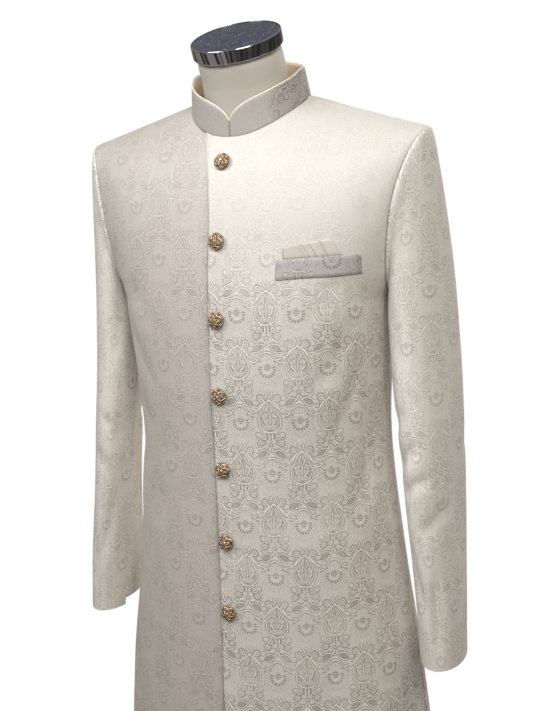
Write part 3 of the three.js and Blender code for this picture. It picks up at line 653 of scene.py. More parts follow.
def sleeve_piece(side, piece, turns):
    """Places, normals and cloth places of a piece of sleeve that spans the given turns round it."""
    p = sleeve_surface(side, turns)
    before, after = sleeve_surface(side, turns - 0.003), sleeve_surface(side, turns + 0.003)
    n = unit(np.cross(after - before, np.gradient(p, axis=1)))
    run = np.stack([run_along(column) for column in p])
    u = np.broadcast_to((turns * SLEEVE_GIRTH)[:, None], run.shape)
    v = CUFF_Z[side] + (run[:, -1:] - run)
    fold_uv = np.stack([u, p[..., 2]], -1) * MM
    sink = fold_depth(fold_uv, SLEEVE_FOLDS[side]) + hand(fold_uv, 5.2 if side == "left" else 6.7, 0.5)
    edge = np.minimum(np.abs(turns - turns[0]), np.abs(turns[-1] - turns))[:, None] * SLEEVE_GIRTH
    sink = sink * smoothstep(run, 6, 40) * smoothstep(edge, 0, 14)
    sink += 0.5 * close_to(edge, 1.5) + 0.4 * close_to(run, 1.6)
    sink += 0.35 * close_to(p[..., 2] - CUFF_Z[side] - CUFF_STITCH, 1.5)
    p = p - n * sink[..., None]
    if side == "right":
        p[..., 2] += CUFF_STEP[piece] * smoothstep(p[..., 2], CUFF_Z[side] + 90, CUFF_Z[side])
    return p, n, np.stack([u, v], -1) * MM


def make_sleeves():
    made = {}
    front_seam = (RIDGE - FRONT_SEAM_LEVEL) / (2 * (RIDGE - UNDERARM))
    back_seam = 1 - (RIDGE - BACK_SEAM_LEVEL) / (2 * (RIDGE - UNDERARM))
    inset = 0.0012
    runs = {"upper": (back_seam - 1 + inset, front_seam - inset),
            "under": (front_seam + inset, back_seam - inset)}
    for side in ("left", "right"):
        for piece, (low, high) in runs.items():
            width = (high - low) * SLEEVE_GIRTH
            turns = low + (high - low) * crowded(int(width / 3.4), 2.0, width)
            p, n, uv = sleeve_piece(side, piece, turns)
            if side == "right":
                p, n, uv = mirror(p, n, uv)
            name = f"sleeve_{side}_{piece}"
            plain = np.full(p.shape[:2], 0.36)
            made[name] = shell_object(name + "_cloth", p, n, SLEEVE_CLOTH, uv + [0.012, 0.02], plain=plain)
    return made


# ---- collar ----
def neckline_loop():
    """Places along the neckline, from the centre front round the left side, and the distance to each."""
    shares = np.array([0, 0.1, 0.2, 0.26, 0.29, 0.31])

    def half(surface):
        return surface.point(shares, surface.top(shares))

    front, back = half(SURFACES["front_left"]), half(SURFACES["back_left"])[::-1]
    corner = SURFACES["front_left"].point(SURFACES["front_left"].at_x(NECK_A, RIDGE), RIDGE)
    side = np.array([[NECK_A, NECK_Y, corner[2]]])
    left = np.concatenate([front, side, back])
    right = left[1:-1][::-1] * [-1, 1, 1]
    points = np.concatenate([left, right])
    dense = catmull(points, closed=True)(np.linspace(0, len(points), 1200))
    return dense, run_along(dense)


def collar_height(distance, length):
    """The band's height at a distance from its front end, with the end's corner rounded off."""
    share = np.clip(distance / (length / 2), 0, 1)
    near = COLLAR["front"] + (COLLAR["side"] - COLLAR["front"]) * smoothstep(share, 0.15, 0.5)
    far = COLLAR["side"] + (COLLAR["back"] - COLLAR["side"]) * smoothstep(share, 0.5, 1)
    full = np.where(share < 0.5, near, far)
    corner = np.clip(1 - distance / COLLAR["radius"], 0, 1)
    return full - (full - COLLAR["meet"]) * (1 - np.sqrt(1 - corner ** 2))


def collar_grid(inset, stations, tiers, foot_rise=COLLAR["foot"]):
    """A grid round the neck and up the band: places, normals, cloth places, and how far below the top."""
    dense, run = neckline_loop()
    length = run[-1]
    share = np.linspace(0, 1, stations)
    share = share - 0.13 * np.sin(2 * np.pi * share)
    distance = 0.6 + (length - 1.2) * share

    def at(d):
        return np.stack([np.interp(d, run, dense[:, i]) for i in range(3)], -1)

    p = at(distance)
    pull = at(np.minimum(length, distance + 0.5)) - at(np.maximum(0, distance - 0.5))
    out = unit(np.cross(pull, [0, 0, 1]))
    out[:, 2] = 0
    out = unit(out) * np.sign((unit(out)[:, :2] * (p[:, :2] - [0, NECK_Y])).sum(1, keepdims=True))
    height = collar_height(np.minimum(distance, length - distance), length)
    up = unit(np.array([0, -COLLAR["lie"], 1]) - out * COLLAR["lean"] / COLLAR["back"])
    foot = p - out * inset + [0, 0, foot_rise]
    height = height + COLLAR["foot"] - foot_rise
    t = np.linspace(0, 1, tiers) ** 0.9
    grid = foot[:, None] + up[:, None] * (height[:, None] * t)[..., None]
    n = np.broadcast_to(out[:, None], grid.shape).copy()
    uv = np.stack([np.repeat(distance[:, None], tiers, 1), height[:, None] * t], -1) * MM
    return grid, n, uv, height[:, None] * (1 - t)


def make_collar():
    grid, n, uv, below_top = collar_grid(0, 170, 16, COLLAR_SEWN)
    roll = 0.5 * np.exp(-(below_top / 1.6) ** 2)
    distance = uv[..., 0] / MM
    length = distance.max()
    bend = 0.5 * np.sin(distance / length * 19) * np.sin(uv[..., 1] / MM / 14)
    p = grid - n * (roll + bend * 0.6)[..., None]
    ends = np.minimum(distance, length - distance)
    # Painted shade along the band's foot, where it meets the body, and at its front ends.
    painted_shade = 0.8 * np.exp(-(uv[..., 1] / MM / 1.6) ** 2) + 0.4 * np.exp(-(ends / 1.2) ** 2)
    plain = 0.1 + 0.8 * (1 - smoothstep(distance, 45, 75))
    plain = plain + 0.8 * smoothstep(distance, length - 130, length - 90)
    along = np.stack([uv[..., 1] + 0.028, uv[..., 0]], -1)
    outer = shell_object("collar_outer_cloth", p, n, COLLAR["wall"], along, painted_shade, plain)
    grid, n, uv, _ = collar_grid(COLLAR["wall"] + 0.3, 170, 10)
    inner = shell_object("collar_inner_cloth", grid, n, COLLAR["wall"], uv)
    return outer, inner


def tube_object(name, path, radius, segments=8):
    """A round cord along a path, closed at both ends."""
    path = np.asarray(path, float)
    tangent = unit(np.gradient(path, axis=0))
    side = unit(np.cross(tangent, [0, 0, 1.0]))
    other = np.cross(side, tangent)
    angle = np.linspace(0, 2 * np.pi, segments, endpoint=False)
    ring = side[:, None] * np.cos(angle)[:, None] + other[:, None] * np.sin(angle)[:, None]
    taper = np.ones(len(path))
    taper[0] = taper[-1] = 0.55
    verts = (path[:, None] + ring * (radius * taper)[:, None, None]).reshape(-1, 3)
    faces = band_faces(len(path), segments)
    faces.append(tuple(range(segments))[::-1])
    faces.append(tuple((len(path) - 1) * segments + j for j in range(segments)))
    coords = np.stack([np.repeat(run_along(path), segments), np.tile(angle * radius, len(path))], -1) * MM
    obj = make_object(name, verts, faces, coords)
    fix_normals(obj)
    return obj


def make_piping():
    """The light cord along the collar's top edge."""
    grid = collar_grid(COLLAR["wall"] * 0.75, 260, 8)[0]
    return tube_object("collar_piping", grid[:, -1] + [0, 0, 0.35], 0.95)


# ---- breast pocket ----
def on_left_front(x, z, out):
    """Places out from the left front's surface at distance x from the centre and height z, and normals."""
    surface = SURFACES["front_left"]
    s, k = surface.locate(x, z)
    n = surface.normal(s, k)
    return surface.point(s, k) + n * np.asarray(out)[..., None], n


def make_welt():
    """The pocket's slanted band, turned in and stitched at its ends."""
    cols, rows = 60, 22
    share, t = np.meshgrid(np.linspace(0, 1, cols), np.linspace(0, 1, rows), indexing="ij")
    x = WELT["x"] + WELT["width"] * share
    z = WELT["z"] - WELT["height"] + WELT["rise"] * share + WELT["height"] * t
    p, n = on_left_front(x, z, np.full(x.shape, WELT["clear"] + WELT["wall"]))
    side = np.minimum(share, 1 - share) * WELT["width"]
    under, over = t * WELT["height"], (1 - t) * WELT["height"]
    edge = np.minimum(side, under)
    sink = 0.9 * np.exp(-(edge / 1.4) ** 2) + 0.3 * np.exp(-((side - 3.2) / 0.8) ** 2)
    sink = sink + 0.5 * np.exp(-(over / 1.2) ** 2) - 0.25 * np.exp(-((over - 5) / 3) ** 2)
    sink = sink + 0.25 * np.sin(share * 7 + t * 2)
    uv = np.stack([x, z + 14], -1) * MM
    # Painted shade at the band's two ends, along a line 3.4 mm in from them, and along a line just above its
    # lower edge.
    painted_shade = 0.6 * np.exp(-(side / 0.9) ** 2) + 0.3 * np.exp(-((side - 3.4) / 0.7) ** 2)
    painted_shade = painted_shade + 0.5 * np.exp(-((under - 2.6) / 0.7) ** 2)
    plain = np.full(x.shape, 0.3)
    return shell_object("pocket_welt_cloth", p - n * sink[..., None], n, WELT["wall"] * 0.8, uv, painted_shade, plain)


class Pleat(NamedTuple):
    x: float
    rise: float
    lift: float  # how far this edge stands off the coat


SQUARE_PLEATS = [
    Pleat(8, 12, 0.5), Pleat(10, 12.4, 1.2), Pleat(30, 14.5, 1.6), Pleat(35.5, 15.2, 2.7),
    Pleat(37.5, 14.6, 0.9), Pleat(43.5, 16, 2.9), Pleat(45.5, 15.2, 0.9), Pleat(55.5, 17.2, 3.0),
    Pleat(57.5, 16.6, 1.0),
    Pleat(66, 17.8, 2.6), Pleat(70, 15, 1.6), Pleat(73, 2, 0.4),
]
PLEAT_LEAN = 8  # how far the pleats lean towards the centre front at their tops


def make_square():
    """The folded pocket square: a row of pleats that stand out of the welt."""
    xs = np.array([q.x for q in SQUARE_PLEATS])
    fine = np.unique(np.concatenate([xs, np.linspace(xs[0], xs[-1], 110)]))
    rise = np.interp(fine, xs, [q.rise for q in SQUARE_PLEATS])
    lift = np.interp(fine, xs, [q.lift for q in SQUARE_PLEATS])
    t = np.linspace(-0.12, 1, 16)
    x = (WELT["x"] + fine)[:, None] - PLEAT_LEAN * smoothstep(fine, 5, 35)[:, None] * np.clip(t, 0, 1)
    z = WELT["z"] + 1 + WELT["rise"] * (fine / WELT["width"])[:, None] + rise[:, None] * t
    stand = 0.6 + lift[:, None] * np.clip(t, 0, 1) ** 0.7 * (1 - 0.25 * np.clip(t, 0, 1))
    p, n = on_left_front(x, z, stand + 0.7)
    slant = (fine[:, None] - 8 * t) * 0.9
    uv = np.stack([slant, z - WELT["z"]], -1) * MM
    # Painted shade in the pleat valleys, over the pleats left of 36 mm, and at the foot where the square
    # comes out of the welt.
    valleys = np.array([q.x for q in SQUARE_PLEATS if q.lift < 1.2])
    folds = np.exp(-(np.abs(fine[:, None] - valleys).min(1) / 1.1) ** 2)[:, None]
    painted_shade = (0.7 * folds + 0.22 * (fine < 36)[:, None]) * np.ones_like(t)
    painted_shade = painted_shade + 0.7 * np.exp(-(np.clip(t, 0, 1) / 0.1) ** 2)
    plain = np.full(x.shape, 0.85)
    return shell_object("pocket_square_cloth", p, n, 0.7, uv + [0.3, 0.2], painted_shade, plain)


# ---- turned and cast parts ----
def lathe_object(name, profile, segments=128):
    """A solid turned about Z from (radius, height) pairs. A point on the axis closes it."""
    profile = np.asarray(profile, float)
    angle = np.linspace(0, 2 * np.pi, segments, endpoint=False)
    verts = np.stack([
        profile[:, 0][:, None] * np.cos(angle), profile[:, 0][:, None] * np.sin(angle),
        np.repeat(profile[:, 1][:, None], segments, 1)], -1).reshape(-1, 3)
    return weld(make_object(name, verts, band_faces(len(profile), segments)))


def rounded(profile, radius=0.6, steps=3):
    """Softens each corner of a turned profile with a small arc."""
    pts = [np.array(q, float) for q in profile]
    out = [pts[0]]
    for a, b, c in zip(pts, pts[1:], pts[2:]):
        r = min(radius, np.linalg.norm(b - a) * 0.45, np.linalg.norm(c - b) * 0.45)
        p0, p1 = b + unit(a - b) * r, b + unit(c - b) * r
        out += [(1 - t) ** 2 * p0 + 2 * (1 - t) * t * b + t ** 2 * p1 for t in np.linspace(0, 1, steps + 1)]
    return out + [pts[-1]]


def lean_cap(obj):
    """Sets a part of the cap, turned about Z, on the leaning neck."""
    tilt = math.radians(CAP["tilt"])
    for v in obj.data.vertices:
        x, y, z = v.co
        v.co = (x, y * math.cos(tilt) - z * math.sin(tilt) + CAP["y"] * MM,
                y * math.sin(tilt) + z * math.cos(tilt) + CAP["z"] * MM)
    return obj


def make_cap():
    r, h, seat = CAP["radius"], CAP["height"], CAP["height"] - CAP["lid"]
    ring = lathe_object("cap_ring_chrome", rounded([
        (0, 0.3), (r - 0.8, 0.3), (r, 1.2), (r, h - 1.0), (r - 0.6, h), (r - CAP["lid_inset"], h),
        (r - CAP["lid_inset"], seat), (0, seat)], 0.5))
    lid_r = r - CAP["lid_inset"] - 0.3
    lid = lathe_object("cap_lid_plate", rounded([
        (0, seat + 0.3), (lid_r, seat + 0.3), (lid_r, h - 0.7), (0, h - 0.6)], 0.4))
    return lean_cap(ring), lean_cap(lid)


def make_stand():
    radius, thick = BASE["radius"], BASE["thick"]
    top = thick + BASE["dome"]
    plate = lathe_object("base_plate_steel", rounded([
        (0, 0), (radius, 0), (radius, thick - 3), (radius - 3, thick),
        (radius * 0.6, thick + BASE["dome"] * 0.55), (POLE_RADIUS + 14, top), (0, top)], 1.2), 160)
    inner, outer = POLE_RADIUS + 0.3, POLE_RADIUS + 12
    socket = lathe_object("pole_socket_steel", rounded([
        (inner, top + 1.5), (inner + 0.6, top + 0.3), (outer, top + 0.3), (outer, top + 22),
        (outer - 4, top + 26), (inner + 0.6, top + 26), (inner, top + 24), (inner, top + 1.5)], 0.8), 96)
    low, high = top + 0.3, FORM_BOTTOM - 0.3
    pole = lathe_object("stand_pole_steel", rounded([
        (0, low), (POLE_RADIUS, low), (POLE_RADIUS, high), (0, high)], 0.4), 96)
    return plate, socket, pole


def button_mesh():
    """A filigree dome: interlaced strands over a dark ground, a knot at the crown and a beaded rim."""
    rings, spokes = 46, 120
    radius, height = BUTTONS["radius"], BUTTONS["height"]
    rho = np.linspace(0, 1, rings)[:, None]
    phi = np.linspace(0, 2 * np.pi, spokes, endpoint=False)[None, :]
    dome = height - 2.2 - 3.4 * rho ** 2.4
    twist = 2.6 * rho
    over = np.abs(np.sin(3 * phi + 2.2 * twist)) ** 0.8
    under = np.abs(np.sin(3 * phi - 2.2 * twist)) ** 0.8
    strand = np.maximum(1 - over * 1.9, 1 - under * 1.9)
    petals = np.cos(8 * phi + 5 * np.sin(2 * np.pi * rho)) * np.sin(np.pi * rho) * 0.5
    relief = np.clip(strand, 0, 1) * smoothstep(rho, 0.16, 0.3) * (1 - smoothstep(rho, 0.84, 0.9))
    relief = np.maximum(relief, np.clip(petals, 0, 1) * 0.8 * (1 - smoothstep(rho, 0.84, 0.9)))
    relief = np.maximum(relief, 1 - smoothstep(rho, 0.12, 0.22))
    beads = (0.5 + 0.5 * np.cos(26 * phi)) * np.exp(-((rho - 0.93) / 0.05) ** 2)
    relief = np.maximum(relief, beads)
    z = dome + relief * 1.1 + 1.3
    face = np.stack([radius * rho * np.cos(phi), radius * rho * np.sin(phi), z], -1)
    back_r = np.array([0.99, 0.92, 0.70, 0.26, 0.26, 0.0])[:, None] * radius
    back_z = np.array([2.9, 2.4, 2.3, 2.2, 0.2, 0.0])[:, None]
    back = np.stack([back_r * np.cos(phi), back_r * np.sin(phi), back_z + 0 * phi], -1)
    verts = np.concatenate([face, back])
    values = np.concatenate([relief, np.full((len(back), spokes), 0.4)]).ravel()
    return verts.reshape(-1, 3), band_faces(len(verts), spokes), values


def make_buttons():
    verts, faces, relief = button_mesh()
    made = []
    for i in range(BUTTONS["count"]):
        place, n = on_left_front(np.array([float(BUTTONS["x"])]),
                                 np.array([BUTTONS["top"] - BUTTONS["pitch"] * i]), np.array([0.4]))
        n, place = n[0], place[0]
        spin = math.radians(23 * i + 8)
        side = unit(np.cross([0, 0, 1.0], n))
        other = np.cross(n, side)
        a = side * math.cos(spin) + other * math.sin(spin)
        b = np.cross(n, a)
        placed = place + verts[:, :1] * a + verts[:, 1:2] * b + verts[:, 2:3] * n
        made.append(weld(make_object(f"button_{i + 1}_gilt", placed, faces, attributes={"relief": relief})))
    return made


def make_form():
    """The form's body, from its CAD solid: remeshed and smoothed into one unbroken skin."""
    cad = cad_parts["form_body"]
    obj = bpy.data.objects.new("form_body_skin", cad.data.copy())
    bpy.context.scene.collection.objects.link(obj)
    obj.data.materials.clear()
    remesh = obj.modifiers.new("skin", "REMESH")
    remesh.mode = "VOXEL"
    remesh.voxel_size = 0.0045
    smooth = obj.modifiers.new("smooth", "SMOOTH")
    smooth.factor = 0.5
    smooth.iterations = 8
    depsgraph = bpy.context.evaluated_depsgraph_get()
    mesh = bpy.data.meshes.new_from_object(obj.evaluated_get(depsgraph))
    obj.modifiers.clear()
    obj.data = mesh
    mesh.shade_smooth()
    return obj


# ---- materials ----
def linear(r, g, b):
    """A colour given as screen values, from about 10 to 255, for a shader socket."""
    return (*(((c / 255 + 0.055) / 1.055) ** 2.4 for c in (r, g, b)), 1.0)


class Value:
    """A shader number that sums and products can be written with."""

    def __init__(self, graph, socket):
        self.graph, self.socket = graph, socket

    def _math(self, operation, *others, clamp=False):
        return self.graph.math(operation, self, *others, clamp=clamp)

    def __add__(self, other):
        return self._math("ADD", other)

    __radd__ = __add__

    def __sub__(self, other):
        return self._math("SUBTRACT", other)

    def __rsub__(self, other):
        return self.graph.math("SUBTRACT", other, self)

    def __mul__(self, other):
        return self._math("MULTIPLY", other)

    def __truediv__(self, other):
        return self._math("DIVIDE", other)

    def __abs__(self):
        return self._math("ABSOLUTE")

    def low(self, other):
        return self._math("MINIMUM", other)

    def high(self, other):
        return self._math("MAXIMUM", other)

    def clamp(self):
        return self._math("ADD", 0.0, clamp=True)


class Graph:
    """A node tree, with short ways to add nodes."""

    def __init__(self, tree):
        self.tree = tree

    def node(self, kind, settings=None, **inputs):
        node = self.tree.nodes.new(kind)
        for key, value in (settings or {}).items():
            setattr(node, key, value)
        for key, value in inputs.items():
            self.set(node.inputs[key.replace("_", " ")], value)
        return node

    def set(self, socket, value):
        if isinstance(value, Value):
            value = value.socket
        if isinstance(value, bpy.types.NodeSocket):
            self.tree.links.new(value, socket)
        else:
            socket.default_value = value

    def math(self, operation, *values, clamp=False):
        node = self.tree.nodes.new("ShaderNodeMath")
        node.operation = operation
        node.use_clamp = clamp
        for socket, value in zip(node.inputs, values):
            self.set(socket, value)
        return Value(self, node.outputs[0])

    def ramp(self, value, low, high):
        """0 below low and 1 above high, with soft ends. low may be above high."""
        node = self.node("ShaderNodeMapRange", {"interpolation_type": "SMOOTHSTEP"},
                         From_Min=low, From_Max=high, To_Min=0.0, To_Max=1.0)
        self.set(node.inputs["Value"], value)
        return Value(self, node.outputs["Result"])

    def noise(self, vector, scale, detail=2.0, roughness=0.5):
        node = self.node("ShaderNodeTexNoise", Scale=scale, Detail=detail, Roughness=roughness)
        self.set(node.inputs["Vector"], vector)
        return Value(self, node.outputs["Fac"])

    def mix(self, factor, a, b):
        node = self.node("ShaderNodeMix", {"data_type": "RGBA"})
        self.set(node.inputs["Factor"], factor)
        self.set(node.inputs[6], a)
        self.set(node.inputs[7], b)
        return node.outputs[2]


def new_material(name):
    material = bpy.data.materials.new(name)
    material.use_nodes = True
    graph = Graph(material.node_tree)
    return material, graph, material.node_tree.nodes["Principled BSDF"]


COLUMN, DROP = 71.0, 64.0  # the brocade's repeat: teardrop to teardrop across, and the half drop down


def brocade_figure(graph, u, v):
    """The woven figure on cloth places u, v in millimetres: (raised ribbons, outlines, dark fills), 0 to 1.

    Each column holds a teardrop, a pair of leaves under an ogee, and a rosette. The next column is half a
    repeat lower. A column is its own mirror image, so u is counted from its middle."""
    column = graph.math("ROUND", u / (COLUMN / 2))
    across = abs(u - column * (COLUMN / 2))
    odd = graph.math("FLOORED_MODULO", column, 2.0)
    up = graph.math("WRAP", v + odd * DROP, 35.0, 35.0 - 2 * DROP)

    def scroll(x, y, reach, half_width, hand=1, start=0.0, pitch=0.56):
        """A spiral of about one and a half turns that ends at reach from its middle."""
        dx, dy = across - x, (up - y) * hand
        r = graph.math("SQRT", dx * dx + dy * dy)
        arm = r / (reach * pitch) - graph.math("ARCTAN2", dy, dx) / (2 * math.pi) - start
        return (graph.math("PINGPONG", arm, 0.5) * (reach * pitch) - half_width).high(r - reach)

    def leaf(x, y, angle, half_length, half_width):
        c, s = math.cos(math.radians(angle)), math.sin(math.radians(angle))
        dx, dy = across - x, up - y
        along, aside = dx * c + dy * s, abs(dy * c - dx * s)
        return aside - half_width + along * along * (half_width / half_length ** 2)

    rise = ((up + 2.5) / 26.5).high(0.0)
    wide = across * (rise * rise * 1.1 + 1)
    tall = (up + 2.5).low(0.0) + (up + 2.5).high(0.0) * 0.5
    drop = graph.math("SQRT", wide * wide + tall * tall) - 13.2
    inside = graph.ramp(drop, 0.5, -0.5)

    ribbons = abs(drop) - 0.6
    for x, y, reach, half_width, hand, start in (
            (4.4, -9.2, 3.6, 0.4, 1, 0.1), (9.8, 26.6, 4.0, 0.45, -1, 0.35), (8.6, -20.6, 4.2, 0.45, 1, 0.6),
            (12.4, -28.2, 3.4, 0.4, -1, 0.2), (4.8, 5.6, 2.9, 0.3, -1, 0.5), (3.4, -26.6, 3.0, 0.4, -1, 0.8),
            (14.4, -18.6, 2.4, 0.35, -1, 0.1), (15.2, 20.4, 2.8, 0.35, 1, 0.4),
            (5.4, -33.0, 3.0, 0.4, 1, 0.3), (15.8, 10.6, 2.2, 0.35, -1, 0.7)):
        ribbons = ribbons.low(scroll(x, y, reach, half_width, hand, start))
    for x, y, angle, half_length, half_width in (
            (9.4, 16.4, -54, 8.0, 1.2), (2.6, 31.0, 66, 5.0, 0.8), (3.2, 12.0, 70, 4.6, 0.7),
            (5.6, -2.5, 48, 5.0, 0.8), (0.0, 0.5, 90, 12.0, 0.5), (1.8, -20.6, 84, 4.0, 0.8),
            (13.5, -55.5, 24, 4.5, 0.7), (1.8, -37.0, -70, 4.0, 0.8), (5.6, 22.6, 48, 3.4, 0.7),
            (9.4, -33.6, -40, 3.4, 0.7), (13.8, -35.4, 20, 3.0, 0.7), (17.0, -24.6, 60, 3.0, 0.6),
            (6.4, -15.6, -20, 3.6, 0.6), (7.6, 3.0, 68, 5.0, 0.6), (8.6, -7.0, 84, 4.0, 0.5)):
        ribbons = ribbons.low(leaf(x, y, angle, half_length, half_width))
    ogee = abs(up + 47.0 + across * 0.72 - graph.math("SINE", across * 0.36) * 1.6) * 0.8 - 0.6
    ribbons = ribbons.low(ogee)
    plump = leaf(11.2, -42.6, -30, 8.2, 4.4)
    ribbons = ribbons.low(abs(plump) - 0.5)

    # Fine arabesque between the main shapes: level lines of a noise that repeats with the figure.
    turn_u, turn_v = u * (2 * math.pi / COLUMN), v * (math.pi / DROP)
    wave = graph.math("COSINE", turn_u)
    bands = graph.node("ShaderNodeCombineXYZ", X=wave * graph.math("COSINE", turn_v) * 2.6,
                       Y=wave * graph.math("SINE", turn_v) * 2.6, Z=graph.math("COSINE", turn_u * 2) * 1.2)
    vein = graph.math("PINGPONG", graph.noise(bands.outputs[0], 1.35, 1.5, 0.5) * 10.0, 0.5)
    lace = graph.ramp(vein, 0.24, 0.08) * graph.ramp(ribbons, 0.9, 2.0)

    raised = graph.ramp(ribbons, 0.3, -0.4).high(lace * 0.45)
    outline = graph.ramp(abs(ribbons - 0.7), 0.7, 0.1).high(graph.ramp(abs(vein - 0.3), 0.09, 0.03) * 0.45)
    fill = graph.ramp(plump, -0.9, -1.8) * 0.5

    away = up + 67.5
    spoke = graph.math("ARCTAN2", away, across)
    r = graph.math("SQRT", across * across + away * away)
    dashes = graph.ramp(graph.math("COSINE", spoke * 18), -0.45, 0.1) * graph.ramp(abs(r - 8.6), 2.1, 1.5)
    dashes = dashes * graph.ramp(away, 5.5, 3.0)
    check = graph.math("SINE", across * 1.55) * graph.math("SINE", away * 1.55)
    seeds = graph.ramp(abs(check), 0.2, 0.5) * graph.ramp(abs(away - 2.5) + across, 5.8, 4.8)
    rays = graph.ramp(graph.math("COSINE", spoke * 28), 0.0, 0.9) * graph.ramp(abs(r - 15.0), 4.5, 3.0) * 0.22
    dark = dashes.high(seeds).high(fill).high(rays)
    ground = graph.ramp(ribbons, 0.9, 3.0) * inside * 0.08
    return raised, outline, dark.high(ground)


def brocade_group():
    """Takes cloth places in metres and how far the figure fades, which on the upper body is painted sheen.
    Gives a tone and a height for the bump.
    """
    tree = bpy.data.node_groups.new("brocade_weave", "ShaderNodeTree")
    for name, kind, way in (("Cloth", "NodeSocketVector", "INPUT"), ("Plain", "NodeSocketFloat", "INPUT"),
                            ("Tone", "NodeSocketFloat", "OUTPUT"), ("Height", "NodeSocketFloat", "OUTPUT")):
        tree.interface.new_socket(name, in_out=way, socket_type=kind)
    graph = Graph(tree)
    given, out = graph.node("NodeGroupInput"), graph.node("NodeGroupOutput")
    apart = graph.node("ShaderNodeSeparateXYZ", Vector=given.outputs["Cloth"])
    sway = graph.noise(given.outputs["Cloth"], 85.0, 1.0) - 0.5
    u = Value(graph, apart.outputs["X"]) * 1000 + sway * 2.4
    v = Value(graph, apart.outputs["Y"]) * 1000 - sway * 2.0
    raised, outline, dark = brocade_figure(graph, u, v)
    slub = graph.noise(given.outputs["Cloth"], 620.0, 3.0, 0.65) - 0.5
    # Random patches of wear lower the figure's contrast, and the Plain input, painted sheen on the upper
    # body, fades it further.
    wear_and_painted_sheen = graph.ramp(graph.noise(given.outputs["Cloth"], 26.0, 2.0), 0.25, 0.6) * 0.45 + 0.55
    wear_and_painted_sheen = wear_and_painted_sheen * (1 - Value(graph, given.outputs["Plain"]))
    tone = (raised * 0.30 - outline * 0.80 - dark * 0.9) * wear_and_painted_sheen + slub * 0.5 + 0.69
    twill = graph.math("SINE", (u + v) * 6.2)
    height = (raised * 0.5 - outline * 0.45 - dark * 0.3) * (wear_and_painted_sheen * 0.7 + 0.3) + twill * 0.03 + slub * 0.25
    graph.set(out.inputs["Tone"], tone)
    graph.set(out.inputs["Height"], height)
    return tree


def brocade_material(name, group, pale, deep, offset=(0.0, 0.0), strength=0.55):
    """The brocade between two tones. offset moves its figure, and strength is that of the bump."""
    material, graph, shader = new_material(name)
    places = graph.node("ShaderNodeUVMap", {"uv_map": "cloth"})
    shifted = graph.node("ShaderNodeVectorMath", {"operation": "ADD"})
    graph.set(shifted.inputs[0], places.outputs["UV"])
    shifted.inputs[1].default_value = (*offset, 0)
    # The plain attribute fades the figure; on the upper body that fade is painted sheen.
    plain = graph.node("ShaderNodeAttribute", {"attribute_name": "plain"}).outputs["Fac"]
    weave = graph.node("ShaderNodeGroup", {"node_tree": group}, Cloth=shifted.outputs[0], Plain=plain)
    soil = graph.noise(graph.node("ShaderNodeTexCoord").outputs["Object"], 5.0, 3.0)
    tone = Value(graph, weave.outputs["Tone"]).clamp()
    seam_and_painted_shade = Value(graph, graph.node("ShaderNodeAttribute", {"attribute_name": "seam_and_painted_shade"}).outputs["Fac"])
    shade = (tone + (soil - 0.5) * 0.12).clamp()
    woven = graph.mix(shade, deep, pale)
    # Painted shade: the seam attribute mixes the colour towards a dark brown-grey along seams, folds, pleats
    # and edges.
    graph.set(shader.inputs["Base Color"], graph.mix(seam_and_painted_shade * 0.62, woven, linear(112, 104, 94)))
    graph.set(shader.inputs["Roughness"], 0.50 - tone * 0.14)
    bump = graph.node("ShaderNodeBump", Strength=strength, Distance=0.0010, Height=weave.outputs["Height"])
    graph.set(shader.inputs["Normal"], bump.outputs["Normal"])
    shader.inputs["Specular IOR Level"].default_value = 0.55
    shader.inputs["Sheen Weight"].default_value = 0.25
    shader.inputs["Sheen Roughness"].default_value = 0.35
    shader.inputs["Sheen Tint"].default_value = linear(255, 250, 240)
    return material


def plain_cloth_material(name, pale, deep):
    """A plain satin facing or cord, with a fine weave."""
    material, graph, shader = new_material(name)
    places = graph.node("ShaderNodeUVMap", {"uv_map": "cloth"})
    grain = graph.noise(places.outputs["UV"], 1400.0, 2.0)
    slow = graph.noise(places.outputs["UV"], 40.0, 3.0)
    graph.set(shader.inputs["Base Color"], graph.mix(grain * 0.6 + slow * 0.4, deep, pale))
    graph.set(shader.inputs["Roughness"], 0.45 + grain * 0.25)
    bump = graph.node("ShaderNodeBump", Strength=0.3, Distance=0.0003, Height=grain)
    graph.set(shader.inputs["Normal"], bump.outputs["Normal"])
    shader.inputs["Sheen Weight"].default_value = 0.15
    return material


def gilt_material():
    """Antique gold: bright strands, brown in the recesses."""
    material, graph, shader = new_material("gilt_antique")
    relief = Value(graph, graph.node("ShaderNodeAttribute", {"attribute_name": "relief"}).outputs["Fac"])
    wear = graph.noise(graph.node("ShaderNodeTexCoord").outputs["Object"], 900.0, 3.0)
    level = graph.ramp(relief + (wear - 0.5) * 0.35, 0.05, 0.75)
    graph.set(shader.inputs["Base Color"], graph.mix(level, linear(108, 82, 62), linear(240, 216, 182)))
    graph.set(shader.inputs["Roughness"], 0.62 - level * 0.34)
    shader.inputs["Metallic"].default_value = 0.85
    return material


def form_material():
    """Cream paint, a little uneven."""
    material, graph, shader = new_material("form_cream")
    places = graph.node("ShaderNodeTexCoord").outputs["Object"]
    slow, grain = graph.noise(places, 9.0, 3.0), graph.noise(places, 700.0, 2.0)
    graph.set(shader.inputs["Base Color"], graph.mix(slow * 0.8 + grain * 0.2, linear(198, 190, 178),
                                                     linear(218, 211, 200)))
    graph.set(shader.inputs["Roughness"], 0.42 + grain * 0.15)
    bump = graph.node("ShaderNodeBump", Strength=0.12, Distance=0.0004, Height=grain)
    graph.set(shader.inputs["Normal"], bump.outputs["Normal"])
    return material


def chrome_material(name, roughness):
    """Plated metal with faint smears."""
    material, graph, shader = new_material(name)
    places = graph.node("ShaderNodeTexCoord").outputs["Object"]
    smear = graph.noise(places, 60.0, 4.0)
    graph.set(shader.inputs["Base Color"], graph.mix(smear, linear(168, 170, 180), linear(206, 207, 214)))
    graph.set(shader.inputs["Roughness"], smear * 0.08 + roughness)
    shader.inputs["Metallic"].default_value = 1.0
    return material


